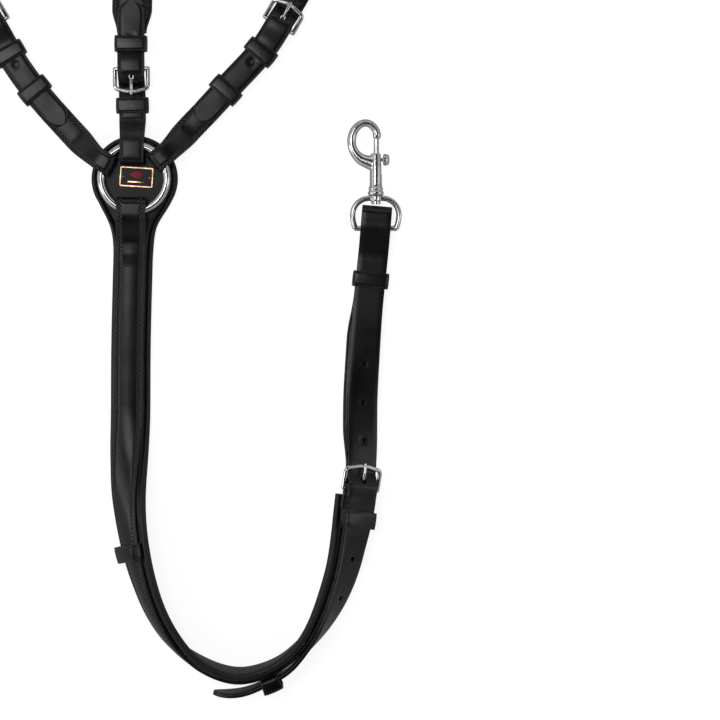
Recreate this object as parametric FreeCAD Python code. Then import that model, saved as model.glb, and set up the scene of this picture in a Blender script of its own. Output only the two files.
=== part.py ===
import FreeCAD, Part
import math
import os

# Martingale: the breast and girth straps of a leather breastplate, laid on a table.
# Millimetres. Origin on the table under the middle of the chest ring, +Y up the wither strap,
# +Z up from the table. The girth strap runs down, round a U stood on its edge, and back up to its snap.

V = FreeCAD.Vector
UP = V(0, 0, 1)

# ---- driving dimensions ------------------------------------------------------------------------
ring_middle_radius = 27.25      # chest ring, middle of its wire
ring_wire = 6.5
pad_thick = 6.5                 # soft backing under the chest strap
pad_width = 33.0
pad_head_radius = 36.0
chest_strap_width = 24.5
chest_strap_thick = 3.4
chest_strap_shift = 1.8         # the strap sits nearer the outer edge of its pad
girth_strap_width = 25.0
girth_strap_thick = 3.2
arm_width = 22.0
arm_loop_width = 17.5           # the arms narrow where they turn round the ring
arm_leather = 2.6
wither_loop_width = 20.0
padded_width = 33.3             # padded piece above the wither buckle
padded_pad_thick = 5.0
skived = 2.2                    # leather pared thin where it turns round a buckle bar
feather = 1.2                   # pared end of a turned-back layer
keeper_thick = 1.8
keeper_width = 13.0             # size of a keeper along its strap
hole_diameter = 4.8
hole_pitch = 32.0
arm_hole_pitch = 45.0
buckle_wire = 3.4
buckle_length = 19.0            # heel bar to toe bar
prong_wire = 2.6
prong_slot_width = 4.4
dee_wire = 3.6                  # dee at the far end of each upper strap
snap_wire = 7.4                 # hook of the snap
snap_collar_radius = 7.0
eye_wire = 4.0                  # swivel D that the girth strap folds over
eye_half_width = 17.15
bolt_radius = 2.25
bolt_travel = 10.5

# ---- clearances --------------------------------------------------------------------------------
sewn = 0.15                     # between layers sewn together
free = 0.3                      # between pieces that move past each other
keeper_room = 0.6               # round a strap inside its keeper
running = 0.05                  # on the radius of a pin in its hole
table_gap = 0.2                 # under the lowest leather


def smooth_step(x, start, end):
    """0 before start, 1 after end, with a soft rise between."""
    t = min(1.0, max(0.0, (x - start) / (end - start)))
    return t * t * (3.0 - 2.0 * t)


def through(knots, values):
    """Smooth curve through values at knots, as a function (natural cubic spline)."""
    n = len(knots)
    bend = [0.0] * n
    diagonal = [1.0] * n
    load = [0.0] * n
    for i in range(1, n - 1):
        before, after = knots[i] - knots[i - 1], knots[i + 1] - knots[i]
        slope_change = (values[i + 1] - values[i]) / after - (values[i] - values[i - 1]) / before
        upper = before / diagonal[i - 1] if i > 1 else 0.0
        diagonal[i] = 2.0 * (before + after) - upper * before
        load[i] = 6.0 * slope_change - upper * load[i - 1]
    for i in range(n - 2, 0, -1):
        bend[i] = (load[i] - (knots[i + 1] - knots[i]) * bend[i + 1]) / diagonal[i]

    def value(x):
        i = 0
        while i < n - 2 and x > knots[i + 1]:
            i += 1
        span = knots[i + 1] - knots[i]
        if x < knots[0] or x > knots[-1]:
            end = 0 if x < knots[0] else n - 1
            slope = (values[i + 1] - values[i]) / span
            slope += (bend[i + 1] if end else -bend[i + 1]) * span / 6.0
            return values[end] + slope * (x - knots[end])
        a, b = (knots[i + 1] - x) / span, (x - knots[i]) / span
        return (a * values[i] + b * values[i + 1]
                + ((a ** 3 - a) * bend[i] + (b ** 3 - b) * bend[i + 1]) * span ** 2 / 6.0)

    return value


class Course:
    """Line over the table that a strap follows: plan points (x, y) and the lean of its face in degrees.

    A place is (s, h): s along the line, h off the back of the bundle. A lean of 0 lays the strap flat,
    and 90 stands it on its edge with its face to the outside of the bend.
    """

    def __init__(self, points, foot=0.0, depth=0.0):
        self.foot, self.depth = foot, depth
        self.stiff = None
        knots = [0.0]
        for a, b in zip(points, points[1:]):
            knots.append(knots[-1] + math.hypot(b[0] - a[0], b[1] - a[1]))
        self.length = knots[-1]
        self.x = through(knots, [p[0] for p in points])
        self.y = through(knots, [p[1] for p in points])
        self.lean = through(knots, [p[2] if len(p) > 2 else 0.0 for p in points])

    def held(self, s):
        """Place whose directions rule at s: a buckle keeps the strap from twisting along its length."""
        if not self.stiff:
            return s
        start, end, ease = self.stiff
        middle = (start + end) / 2.0
        if start <= s <= end:
            return middle
        if s < start:
            return s if s < start - ease else middle + (start - ease - middle) * (start - s) / ease
        return s if s > end + ease else middle + (end + ease - middle) * (s - end) / ease

    def frame(self, s):
        """Point on the table line, and the directions along, across (outward) and off the face."""
        rule = self.held(s)
        dx = self.x(rule + 0.5) - self.x(rule - 0.5)
        dy = self.y(rule + 0.5) - self.y(rule - 0.5)
        along = V(dx, dy, 0).normalize()
        outward = along.cross(UP)
        lean = math.radians(max(0.0, self.lean(rule)))
        face = UP * math.cos(lean) + outward * math.sin(lean)
        across = along.cross(face)
        rise = self.foot * math.sin(lean) + self.depth * max(0.0, -math.cos(lean))
        return V(self.x(s), self.y(s), rise), along, across, face

    def point(self, s, h, w=0.0):
        base, along, across, face = self.frame(s)
        return base + across * w + face * h

    def at_height(self, y, start, end):
        """s between start and end where the line passes a given y."""
        low, high = start, end
        rising = self.y(end) > self.y(start)
        for _ in range(40):
            middle = (low + high) / 2.0
            if (self.y(middle) < y) == rising:
                low = middle
            else:
                high = middle
        return (low + high) / 2.0

    def placement(self, s, h, w=0.0):
        """Local frame at a place: X along the strap, Y to its left, Z off its face."""
        base, along, across, face = self.frame(s)
        left = face.cross(along)
        matrix = FreeCAD.Matrix(along.x, left.x, face.x, 0, along.y, left.y, face.y, 0,
                                along.z, left.z, face.z, 0, 0, 0, 0, 1)
        spot = FreeCAD.Placement(matrix)
        spot.Base = base + across * w + face * h
        return spot


def polygon(points):
    return Part.makePolygon(list(points) + [points[0]])


def loft(sections):
    """Closed solid with flat facets from one section outline to the next."""
    solid = Part.makeLoft([polygon(s) for s in sections], True, True)
    if solid.Volume < 0:
        solid.reverse()
    return solid


def ribbon(course, places):
    """Strap that follows places (s, h, thickness, left edge, right edge), turns round bars included."""
    middles = [course.point(p[0], p[1]) for p in places]
    sections = []
    for i, (s, h, thick, low, high) in enumerate(places):
        travel = middles[min(i + 1, len(places) - 1)] - middles[max(i - 1, 0)]
        across = course.frame(s)[2]
        off = across.cross(travel).normalize() * (thick / 2.0)
        a, b = middles[i] + across * low, middles[i] + across * high
        sections.append([a - off, b - off, b + off, a + off])
    return loft(sections)


def turn(s, h, radius, start, end, steps=12):
    """Places (s, h) on an arc round a bar, angles in degrees from +s towards +h."""
    places = []
    for i in range(steps + 1):
        a = math.radians(start + (end - start) * i / steps)
        places.append((s + radius * math.cos(a), h + radius * math.sin(a)))
    return places


def steps_between(start, end, pitch=6.0):
    n = max(1, int(math.ceil(abs(end - start) / pitch)))
    return [start + (end - start) * i / n for i in range(n + 1)]


def sleeve(course, start, end, low, high, bottom, top, wall, footed=False):
    """Keeper: a flat loop of leather round a strap, or footed: a bridge whose ends stand at bottom."""
    def box(grow, a, b):
        floor = bottom - grow if not footed else bottom - (0.0 if grow else wall)
        sections = []
        for s in steps_between(a, b, 3.0):
            corners = [(low - grow, floor), (high + grow, floor),
                       (high + grow, top + grow), (low - grow, top + grow)]
            sections.append([course.point(s, h, w) for w, h in corners])
        return loft(sections)

    past = 1.0
    return box(wall, start, end).cut(box(0.0, start - past, end + past))


def rod(points, radius):
    """Round bar through points, with ball corners."""
    shape = Part.makeSphere(radius, points[0])
    for a, b in zip(points, points[1:]):
        shape = shape.fuse(Part.makeCylinder(radius, (b - a).Length, a, b - a))
        shape = shape.fuse(Part.makeSphere(radius, b))
    return shape


def bend(radius, wire, middle, axis, start_direction, angle):
    """Part of a torus: round wire bent round an axis through middle, from start_direction."""
    torus = Part.makeTorus(radius, wire, V(0, 0, 0), UP, -180, 180, angle)
    side = axis.cross(start_direction)
    matrix = FreeCAD.Matrix(start_direction.x, side.x, axis.x, middle.x,
                            start_direction.y, side.y, axis.y, middle.y,
                            start_direction.z, side.z, axis.z, middle.z, 0, 0, 0, 1)
    torus.Placement = FreeCAD.Placement(matrix)
    return torus


def save(name, shape):
    solids = shape.Solids
    if len(solids) == 1:
        shape = solids[0]
    print(name, "solids", len(solids), "volume", round(shape.Volume, 1), "valid", shape.isValid())
    shape.exportStep("parts/" + name + ".step")


# ---- buckles -----------------------------------------------------------------------------------
# Local frame of a buckle: X from the heel bar towards the toe bar, Z off the face, origin in the heel bar.

def buckle_frame(inner_width, tilt):
    """Rounded wire frame: heel bar, two legs and a bowed toe bar."""
    r = buckle_wire / 2.0
    half = inner_width / 2.0 + r
    corner = r + 2.3
    bow = 1.6
    heel = rod([V(0, -half, 0), V(0, half, 0)], r)
    shape = heel
    for side in (-1, 1):
        leg_end = V(buckle_length - corner - bow, side * half, 0)
        shape = shape.fuse(rod([V(0, side * half, 0), leg_end], r))
        middle = V(leg_end.x, side * (half - corner), 0)
        if side > 0:
            shape = shape.fuse(bend(corner, r, middle, UP, V(1, 0, 0), 90))
        else:
            shape = shape.fuse(bend(corner, r, middle, UP, V(0, -1, 0), 90))
        shape = shape.fuse(rod([V(buckle_length - bow, side * (half - corner), 0),
                                V(buckle_length, side * (half - corner) * 0.35, 0),
                                V(buckle_length, 0, 0)], r))
    shape.rotate(V(0, 0, 0), V(0, 1, 0), -tilt)
    return shape.removeSplitter()


def prong_line(tilt):
    """Middle line of the prong from the heel bar up through the billet's hole and over the toe bar."""
    t = math.radians(tilt)
    lift = (buckle_wire + prong_wire) / 2.0 + 0.1
    toe = V(buckle_length * math.cos(t) - lift * math.sin(t), 0,
            buckle_length * math.sin(t) + lift * math.cos(t))
    return [V(0, 0, 0), V(4.0, 0, 1.6), V(9.0, 0, 4.4), V(13.5, 0, toe.z + 0.5), toe,
            toe + V(2.2, 0, -0.1)]


def buckle_prong(tilt):
    """Prong with an eye rolled round the heel bar."""
    points = prong_line(tilt)
    eye_radius = buckle_wire / 2.0 + running
    eye_width = 3.6
    wall = 1.4
    eye = Part.makeCylinder(eye_radius + wall, eye_width, V(0, -eye_width / 2.0, 0), V(0, 1, 0))
    bar_room = Part.makeCylinder(eye_radius, eye_width + 2.0, V(0, -eye_width / 2.0 - 1.0, 0), V(0, 1, 0))
    shape = eye.fuse(rod(points[1:], prong_wire / 2.0))
    shape = shape.fuse(Part.makeCylinder(prong_wire / 2.0, points[1].Length, V(0, 0, 0), points[1]))
    return shape.cut(bar_room).removeSplitter()


def prong_slot(width=prong_slot_width, reach=9.0):
    """Room for the prong's eye in the leather that turns round the heel bar."""
    return Part.makeBox(reach + 5.0, width, 30.0, V(-5.0, -width / 2.0, -3.5))


def punched(shape, course, s, h, w, depth=14.0, stretch=0.0):
    """Strap with a round hole at a place, stretched along the strap where a prong pulls in it."""
    tool = Part.makeCylinder(hole_diameter / 2.0, depth, V(0, 0, -depth / 2.0))
    if stretch:
        far = tool.copy()
        far.translate(V(stretch, 0, 0))
        middle = Part.makeBox(stretch, hole_diameter, depth, V(0, -hole_diameter / 2.0, -depth / 2.0))
        tool = tool.fuse(far).fuse(middle)
        tool.translate(V(-stretch / 2.0, 0, 0))
    tool.Placement = course.placement(s, h, w).multiply(tool.Placement)
    return shape.cut(tool)


def set_on(shape, course, s, h, w=0.0, reverse=False):
    """Piece from its own frame put at a place on a strap, facing back down the strap if reverse."""
    spot = course.placement(s, h, w)
    if reverse:
        spot = spot.multiply(FreeCAD.Placement(V(0, 0, 0), FreeCAD.Rotation(UP, 180)))
    copy = shape.copy()
    copy.Placement = spot.multiply(copy.Placement)
    return copy


os.makedirs("parts", exist_ok=True)

# ---- chest: pad, ring and strap ----------------------------------------------------------------
# Points of the bundle's line: the middle of the pad's back, and the lean of its face.
bundle = Course([
    (0.0, 0.0, 0), (-1.3, -64.0, 0), (-3.2, -150.0, 0), (-3.4, -205.0, 3), (-3.1, -240.0, 20),
    (-1.1, -267.0, 38), (1.9, -288.0, 48), (6.3, -310.0, 55), (12.9, -333.0, 62), (23.9, -360.0, 69),
    (42.8, -386.0, 81), (55.0, -396.0, 90), (70.0, -403.8, 95), (87.4, -407.6, 97),
    (104.8, -404.2, 95), (121.6, -395.8, 92), (138.4, -379.5, 86), (150.8, -361.5, 73),
    (160.2, -343.0, 61), (169.5, -317.0, 50), (175.6, -291.0, 38), (181.2, -262.0, 27),
    (184.3, -236.0, 20), (185.8, -211.0, 14), (186.7, -184.0, 9), (188.4, -157.0, 5),
    (192.4, -105.0, 0), (196.6, -64.0, 0), (199.7, -28.0, 0),
], foot=pad_width / 2.0, depth=pad_thick)

strap_level = pad_thick + sewn                       # underside of what is sewn on the pad
chest_low = chest_strap_shift - chest_strap_width / 2.0
chest_high = chest_strap_shift + chest_strap_width / 2.0
wire_r = ring_wire / 2.0
ring_height = strap_level + chest_strap_thick + free + wire_r

end_of_u = bundle.length
heel = bundle.at_height(-257.0, end_of_u - 330.0, end_of_u - 60.0)      # girth buckle's heel bar
pad_end = heel - 6.0
bundle.stiff = (heel - 6.0, heel + 22.0, 30.0)


def pad_outline(s):
    """Pad's section: flat faces with rolled, thinner edges."""
    half = pad_width / 2.0
    roll = 3.5
    edge = 2.2
    corners = [(-half, edge), (-half + roll, 0), (half - roll, 0), (half, edge),
               (half, pad_thick - edge), (half - roll, pad_thick), (-half + roll, pad_thick),
               (-half, pad_thick - edge)]
    return [bundle.point(s, h, w) for w, h in corners]


neck_end = 64.0
pad_body = loft([pad_outline(s) for s in steps_between(neck_end - 2.0, pad_end)])
head = Part.makeCylinder(pad_head_radius, pad_thick)
neck_points = [(-29.5, -20.0), (-21.5, -37.5), (-18.2, -52.0), (-17.85, -neck_end),
               (15.25, -neck_end), (16.0, -52.0), (19.5, -37.5), (27.5, -23.0)]
neck = Part.Face(polygon([V(x, y, 0) for x, y in neck_points])).extrude(V(0, 0, pad_thick))
save("chest_pad", head.fuse(neck).fuse(pad_body).removeSplitter())

# Chest strap: turned round the ring, stitched along the pad, turned round the girth buckle's heel bar.
fold_room = wire_r + free
reach = math.sqrt(ring_middle_radius ** 2 - chest_high ** 2) - 0.45 - free    # ring bends inside the fold
half_thick = chest_strap_thick / 2.0
low_level = strap_level + half_thick
places = []
for s in steps_between(60.0, 36.0):
    thick = feather + (chest_strap_thick - feather) * (60.0 - s) / 24.0
    places.append((s, strap_level + thick / 2.0, thick))
places.append((reach + 5.0, low_level, chest_strap_thick))
places += [(s, h, chest_strap_thick) for s, h in turn(reach, ring_height, fold_room + half_thick, -90, -270)]
top_level = ring_height + fold_room + half_thick
places.append((ring_middle_radius + 1.0, top_level, chest_strap_thick))


def over_return(s):
    """Level of the strap as it comes down from the ring on its turned-back end, then on the pad."""
    back = feather * (1.0 - smooth_step(s, 60.5, 72.0))
    back += max(0.0, (chest_strap_thick - feather) * (60.0 - s) / 24.0) + sewn * (s < 72.0)
    lying = low_level + back
    return lying + (top_level - lying) * (1.0 - smooth_step(s, ring_middle_radius + 2.0, 54.0))


return_top = strap_level + skived
bar_r = buckle_wire / 2.0
heel_height = return_top + running + 0.05 + bar_r
bar_turn = bar_r + running + 0.05 + skived / 2.0
for s in steps_between(ring_middle_radius + 3.0, 78.0, 3.5):
    places.append((s, over_return(s), chest_strap_thick))
for s in steps_between(84.0, heel - 52.0):
    places.append((s, low_level, chest_strap_thick))
for s in steps_between(heel - 48.0, heel, 4.0):
    rise = smooth_step(s, heel - 46.0, heel - 34.0) * (feather + sewn)
    rise += smooth_step(s, heel - 34.0, heel - 12.0) * (skived - feather)
    thick = chest_strap_thick + (skived - chest_strap_thick) * smooth_step(s, heel - 30.0, heel - 4.0)
    lying = strap_level + rise + thick / 2.0
    places.append((s, lying + (heel_height + bar_turn - lying) * smooth_step(s, heel - 14.0, heel), thick))
places += [(s, h, skived) for s, h in turn(heel, heel_height, bar_turn, 90, -90)][1:]
for s in steps_between(heel - 4.0, heel - 34.0):
    thick = feather + (skived - feather) * smooth_step(s, heel - 34.0, heel - 12.0)
    places.append((s, strap_level + thick / 2.0, thick))
chest_strap = ribbon(bundle, [p + (chest_low, chest_high) for p in places])
chest_strap = chest_strap.cut(set_on(prong_slot(), bundle, heel, heel_height, chest_strap_shift))
save("chest_strap", chest_strap)

ring = Part.makeTorus(ring_middle_radius, wire_r, V(0, 0, ring_height))
save("chest_ring", ring)

# Empty keeper for the billet, standing off the strap below the stitching.
chest_keeper_s = bundle.at_height(-308.5, 200.0, 400.0)
billet_room = 4.6
save("chest_keeper", sleeve(
    bundle, chest_keeper_s - keeper_width / 2.0, chest_keeper_s + keeper_width / 2.0,
    chest_low - 0.3, chest_high + 0.3, strap_level,
    strap_level + chest_strap_thick + billet_room, keeper_thick, True))

# Badge on the pad inside the ring: a plate with an inlay, held by two rivets.
badge_tilt = -3.5
badge_size = (27.5, 16.3, 1.2)
badge_middle = V(1.7, 1.2, 0)


def on_badge(shape):
    shape.rotate(V(0, 0, 0), UP, badge_tilt)
    shape.translate(badge_middle + V(0, 0, pad_thick + sewn))
    return shape


def rounded_slab(length, width, thick, corner):
    slab = Part.makeBox(length, width, thick, V(-length / 2.0, -width / 2.0, 0))
    return slab.makeFillet(corner, [e for e in slab.Edges if abs(e.tangentAt(0).z) > 0.9])


rim = 0.9
inlay_thick = 0.5
rivet_x = badge_size[0] / 2.0 - 2.6
plate = rounded_slab(*badge_size, 1.5)
recess = rounded_slab(badge_size[0] - 2 * rim, badge_size[1] - 2 * rim, 5.0, 1.0)
recess.translate(V(0, 0, badge_size[2] - inlay_thick))
inlay = rounded_slab(badge_size[0] - 2 * rim - 0.1, badge_size[1] - 2 * rim - 0.1, inlay_thick - 0.1, 1.0)
inlay.translate(V(0, 0, badge_size[2] - inlay_thick + 0.05))
rivets = []
for side in (-1, 1):
    hole = Part.makeCylinder(0.75, 10.0, V(side * rivet_x, 0, -2.0))
    plate = plate.cut(hole)
    inlay = inlay.cut(hole)
    rivet = Part.makeCylinder(0.7, badge_size[2], V(side * rivet_x, 0, 0))
    dome = Part.makeSphere(1.1, V(side * rivet_x, 0, badge_size[2] - 0.3))
    dome = dome.common(Part.makeBox(4, 4, 2, V(side * rivet_x - 2, -2, badge_size[2] + 0.02)))
    neck_of_dome = Part.makeCylinder(0.7, 0.1, V(side * rivet_x, 0, badge_size[2] - 0.05))
    rivets.append(rivet.fuse(dome.fuse(neck_of_dome)))
save("badge_plate", on_badge(plate.cut(recess)))
save("badge_inlay", on_badge(inlay))
save("badge_rivets", on_badge(Part.makeCompound([r.Solids[0] for r in rivets])))

# ---- girth strap: rear leg, fold over the snap's eye, billet down through the buckle ---------------
g_half = girth_strap_thick / 2.0
snap_axis_height = snap_collar_radius + 0.4
fold_top_y = -22.6
fold_mid = 5.6                                       # radius of the loose fold, middle of the leather
fold_s = bundle.at_height(fold_top_y, end_of_u - 60.0, end_of_u + 40.0) - fold_mid - g_half
rear_low = table_gap + g_half
fold_height = rear_low + fold_mid
sewn_in = strap_level - girth_strap_thick - 0.05     # the rear leg starts level with the pad's top
billet_level = strap_level + chest_strap_thick + free + g_half
rear_start = pad_end + 0.4
snap_keeper_s = bundle.at_height(-84.0, end_of_u - 120.0, end_of_u)
tip_s = bundle.at_height(-406.5, 380.0, 480.0) - 6.0
keeper_tip_s = tip_s + 36.0
tip_keeper_base = strap_level + chest_strap_thick + 2 * free + keeper_thick
rear_aside = 3.2


def girth_edges(s, half=girth_strap_width / 2.0):
    """Left and right edges of the girth strap: in line with the chest strap, then centred round the U."""
    middle = chest_strap_shift * smooth_step(s, tip_s + 60.0, heel - 60.0)
    return (middle - half, middle + half)


def rear_edges(s):
    """The rear leg lies towards the inside of the billet from the buckle to the snap's keeper."""
    aside = rear_aside * smooth_step(s, heel + 12.0, heel + 50.0)
    aside *= 1.0 - smooth_step(s, snap_keeper_s - 50.0, snap_keeper_s - 12.0)
    low, high = girth_edges(s)
    return (low - aside, high - aside)


def rear_level(s):
    start = sewn_in + g_half
    on_keeper = table_gap + keeper_thick + keeper_room + g_half
    h = start + (on_keeper - start) * smooth_step(s, heel + 6.0, heel + 66.0)
    return h + (rear_low - on_keeper) * smooth_step(s, snap_keeper_s + 8.0, snap_keeper_s + 26.0)


def billet_height(s):
    """Level of the billet: on the rear leg, under the toe bar, over the heel bar, then on the chest strap."""
    x = s - heel
    over_bar = heel_height + bar_turn + skived / 2.0 + free + g_half
    under_toe = rear_level(s) + girth_strap_thick + 0.6
    if x > 3.0:
        h = under_toe + (over_bar - under_toe) * (1.0 - smooth_step(x, 2.0, 14.5))
    else:
        h = billet_level + (over_bar - billet_level) * smooth_step(x, -52.0, -1.0)
    if x > 22.0:
        h = rear_level(s) + girth_strap_thick + 0.6 - free
        h += (fold_height + fold_mid - h) * smooth_step(s, fold_s - 46.0, fold_s - 4.0)
    in_keeper = tip_keeper_base + free + g_half - billet_level
    h += in_keeper * (1.0 - smooth_step(s, keeper_tip_s + 8.0, keeper_tip_s + 36.0))
    return h + 8.5 * (1.0 - smooth_step(s, tip_s - 8.0, keeper_tip_s + 5.0))


girth_places = [(s, rear_level(s), girth_strap_thick) + rear_edges(s)
                for s in steps_between(rear_start, fold_s - 5.0)]
places = turn(fold_s, fold_height, fold_mid, -90, 90)
places += [(s, billet_height(s)) for s in steps_between(fold_s - 5.0, heel + 22.0)]
places += [(s, billet_height(s)) for s in steps_between(heel + 20.0, heel - 8.0, 2.5)]
places += [(s, billet_height(s)) for s in steps_between(heel - 12.0, tip_s + 16.0, 5.0)]
girth_places += [(s, h, girth_strap_thick) + girth_edges(s) for s, h in places]
tip_round = girth_strap_width * 0.55
for i in range(1, 9):
    a = math.radians(90.0 * i / 8.5)
    half = girth_strap_width / 2.0 * math.cos(a)
    s = tip_s + 14.0 - tip_round * math.sin(a)
    girth_places.append((s, billet_height(s), girth_strap_thick) + girth_edges(s, half))
girth_strap = ribbon(bundle, girth_places)
prong_hole_x = 7.0
for k in range(-3, 4):
    s = heel + prong_hole_x + k * hole_pitch
    spot = billet_height(s)
    depth = 3.9 if k else 8.0
    girth_strap = punched(girth_strap, bundle, s, spot, sum(girth_edges(s)) / 2.0, depth,
                          0.0 if k else 2.6)
save("girth_strap", girth_strap)

girth_tilt = 5.5
frame_w = girth_strap_width + 2.4
save("girth_buckle_frame", set_on(buckle_frame(frame_w, girth_tilt), bundle, heel, heel_height,
                                  chest_strap_shift))
save("girth_buckle_prong", set_on(buckle_prong(girth_tilt), bundle, heel, heel_height,
                                  chest_strap_shift))


def strap_keeper(name, middle, bottom, top, footed=False):
    low, high = girth_edges(middle)
    save(name, sleeve(bundle, middle - keeper_width / 2.0, middle + keeper_width / 2.0, low - keeper_room,
                      high + keeper_room, bottom, top, keeper_thick, footed))


girth_keeper_s = heel - 24.0
strap_keeper("girth_keeper", girth_keeper_s, strap_level,
             billet_height(girth_keeper_s + keeper_width / 2.0) + g_half + keeper_room, True)
slack = 4.0                                          # the loose keeper hangs away from the billet
strap_keeper("tip_keeper", keeper_tip_s, tip_keeper_base,
             billet_height(keeper_tip_s - keeper_width / 2.0) + g_half + slack)
strap_keeper("snap_keeper", snap_keeper_s, rear_level(snap_keeper_s) - g_half - keeper_room,
             billet_height(snap_keeper_s + keeper_width / 2.0) + g_half + keeper_room)

# ---- snap --------------------------------------------------------------------------------------
# Built along +Y on its own axis, then moved to the axis of the swivel.
snap_x = 200.6
z0 = snap_axis_height
eye_bar_y = -41.5
eye_corner = 9.0                                     # radius of the D's shoulders
collar_y = -13.6
boss = (-19.2, -13.9)
arch_y = boss[1] - 0.3 - eye_wire / 2.0 - eye_corner


def snap_point(x, y):
    return V(snap_x + x, y, z0)


eye = rod([snap_point(-eye_half_width, arch_y), snap_point(-eye_half_width, eye_bar_y),
           snap_point(eye_half_width, eye_bar_y), snap_point(eye_half_width, arch_y)], eye_wire / 2.0)
eye_shoulder = eye_half_width - eye_corner
for side, start in ((1, V(1, 0, 0)), (-1, V(0, 1, 0))):
    eye = eye.fuse(bend(eye_corner, eye_wire / 2.0, snap_point(side * eye_shoulder, arch_y), UP, start, 90))
eye_top = arch_y + eye_corner
eye = eye.fuse(rod([snap_point(-eye_shoulder, eye_top), snap_point(eye_shoulder, eye_top)], eye_wire / 2.0))
eye = eye.fuse(Part.makeCylinder(4.3, boss[1] - boss[0], snap_point(0, boss[0]), V(0, 1, 0)))
pin_r = 2.5
eye = eye.cut(Part.makeCylinder(pin_r + running, 12.0, snap_point(0, boss[0] - 3.0), V(0, 1, 0)))
save("snap_eye", eye.removeSplitter())

pin = Part.makeCylinder(pin_r, collar_y + 5.0 - boss[0] + free, snap_point(0, boss[0] - free), V(0, 1, 0))
head_thick = 1.7
pin = pin.fuse(Part.makeCylinder(3.9, head_thick, snap_point(0, boss[0] - free - head_thick), V(0, 1, 0)))
save("snap_swivel_pin", pin.removeSplitter())

hook_r = snap_wire / 2.0
hook_left, hook_right, arch = -20.0, 1.4, 34.8
hook_arch_r = (hook_right - hook_left) / 2.0
hook_mid = (hook_left + hook_right) / 2.0
body = rod([snap_point(hook_left, arch), snap_point(hook_left, 26.0), snap_point(-17.6, 18.6),
            snap_point(-12.0, 12.6), snap_point(-5.0, 8.5), snap_point(0.0, 4.0)], hook_r)
body = body.fuse(bend(hook_arch_r, hook_r, snap_point(hook_mid, arch), UP, V(1, 0, 0), 180))
body = body.fuse(Part.makeCylinder(hook_r * 0.8, 2.0, snap_point(hook_right, arch - 1.8), V(0, 1, 0)))
body = body.fuse(Part.makeCylinder(4.6, 18.0, snap_point(0.5, 2.3), V(0, 1, 0)))
body = body.fuse(Part.makeCylinder(5.2, 11.0, snap_point(0, -6.0), V(0, 1, 0)))
body = body.fuse(Part.makeCone(snap_collar_radius, 5.4, 2.4, snap_point(0, -8.2), V(0, 1, 0)))
body = body.fuse(Part.makeCylinder(snap_collar_radius, 5.4, snap_point(0, collar_y), V(0, 1, 0)))
bolt_x = 0.5
bore_low = -3.2
spring_gap = 0.25
mouth_top = arch - 1.8
bolt_low, bolt_high = 10.2, mouth_top - 0.25
stem_y = 15.6
stem_r = 1.5
bolt_bore = Part.makeCylinder(bolt_radius + running, 26.0, snap_point(bolt_x, bore_low), V(0, 1, 0))
slot_half = stem_r + 0.3
slot_low = stem_y - bolt_travel - slot_half
slot = Part.makeBox(9.0, stem_y + slot_half + 0.4 - slot_low, 2 * slot_half,
                    snap_point(bolt_x, slot_low) + V(0, 0, -slot_half))
pin_seat = Part.makeCylinder(pin_r, 5.0, snap_point(0, collar_y), V(0, 1, 0))
body = body.cut(bolt_bore).cut(slot).cut(pin_seat)
save("snap_body", body.removeSplitter())

stem_reach = 5.4
bolt = Part.makeCylinder(bolt_radius, bolt_high - bolt_low, snap_point(bolt_x, bolt_low), V(0, 1, 0))
bolt = bolt.fuse(Part.makeCylinder(stem_r, stem_reach, snap_point(bolt_x, stem_y), V(1, 0, 0)))
save("snap_bolt", bolt.removeSplitter())
knob_from = bolt_x + stem_reach
knob = Part.makeCylinder(5.0, 5.6, snap_point(knob_from, stem_y), V(1, 0, 0))
knob = knob.makeChamfer(1.5, [e for e in knob.Edges if abs(e.BoundBox.XLength) < 0.01])
save("snap_thumb_knob", knob)

coil_r, coil_wire, coils = 1.7, 0.5, 6
spring_length = bolt_low - bore_low - 2 * spring_gap - coil_wire
helix = Part.makeHelix(spring_length / coils, spring_length, coil_r)
profile = Part.Wire(Part.makeCircle(coil_wire / 2.0, V(coil_r, 0, 0), V(0, 1, 0)))
spring = Part.Wire(helix.Edges).makePipeShell([profile], True, True)
spring.rotate(V(0, 0, 0), V(1, 0, 0), -90)
spring.translate(snap_point(bolt_x, bore_low + spring_gap + coil_wire / 2.0))
save("snap_spring", spring)

# ---- shoulder arms -----------------------------------------------------------------------------
# Stack of an arm above the table: keeper, lower layer, upper layer, billet, keeper.
arm_base = table_gap + keeper_thick + keeper_room
a_half = arm_leather / 2.0
on_ring_low = pad_thick + 0.4 + a_half              # lower layer where it lies on the pad's head
arm_fold = fold_room + a_half
arm_reach = math.sqrt(ring_middle_radius ** 2 - (arm_loop_width / 2.0) ** 2) - 0.35
arm_tilt = 12.0
arm_heel_height = arm_base + skived + running + 0.05 + bar_r


def arm_width_at(s):
    return arm_loop_width + (arm_width - arm_loop_width) * smooth_step(s, 33.0, 58.0)


def arm_low(s):
    """Level of the lower layer: on the pad's head, then down to the keepers' base."""
    return on_ring_low + (arm_base + a_half - on_ring_low) * smooth_step(s, pad_head_radius - 2.0, 66.0)


def arm_up(s):
    top = ring_height + fold_room + a_half
    lying = arm_low(s) + arm_leather + sewn
    return lying + (top - lying) * (1.0 - smooth_step(s, ring_middle_radius + 2.0, 60.0))


def arm_billet(s, heel_s):
    """Level of the billet: on the chape, over the heel bar, under the toe bar and down to the table."""
    x = s - heel_s
    lying = arm_base + 2 * arm_leather + sewn + free + a_half
    over_bar = arm_heel_height + bar_turn + skived / 2.0 + free + a_half
    if x < 2.0:
        return lying + (over_bar - lying) * smooth_step(x, -20.0, -1.0)
    under_toe = arm_base + 1.0 + a_half
    down = table_gap + a_half
    h = under_toe + (over_bar - under_toe) * (1.0 - smooth_step(x, 1.5, 15.0))
    return h + (down - under_toe) * smooth_step(x, 24.0, 44.0)


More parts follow.
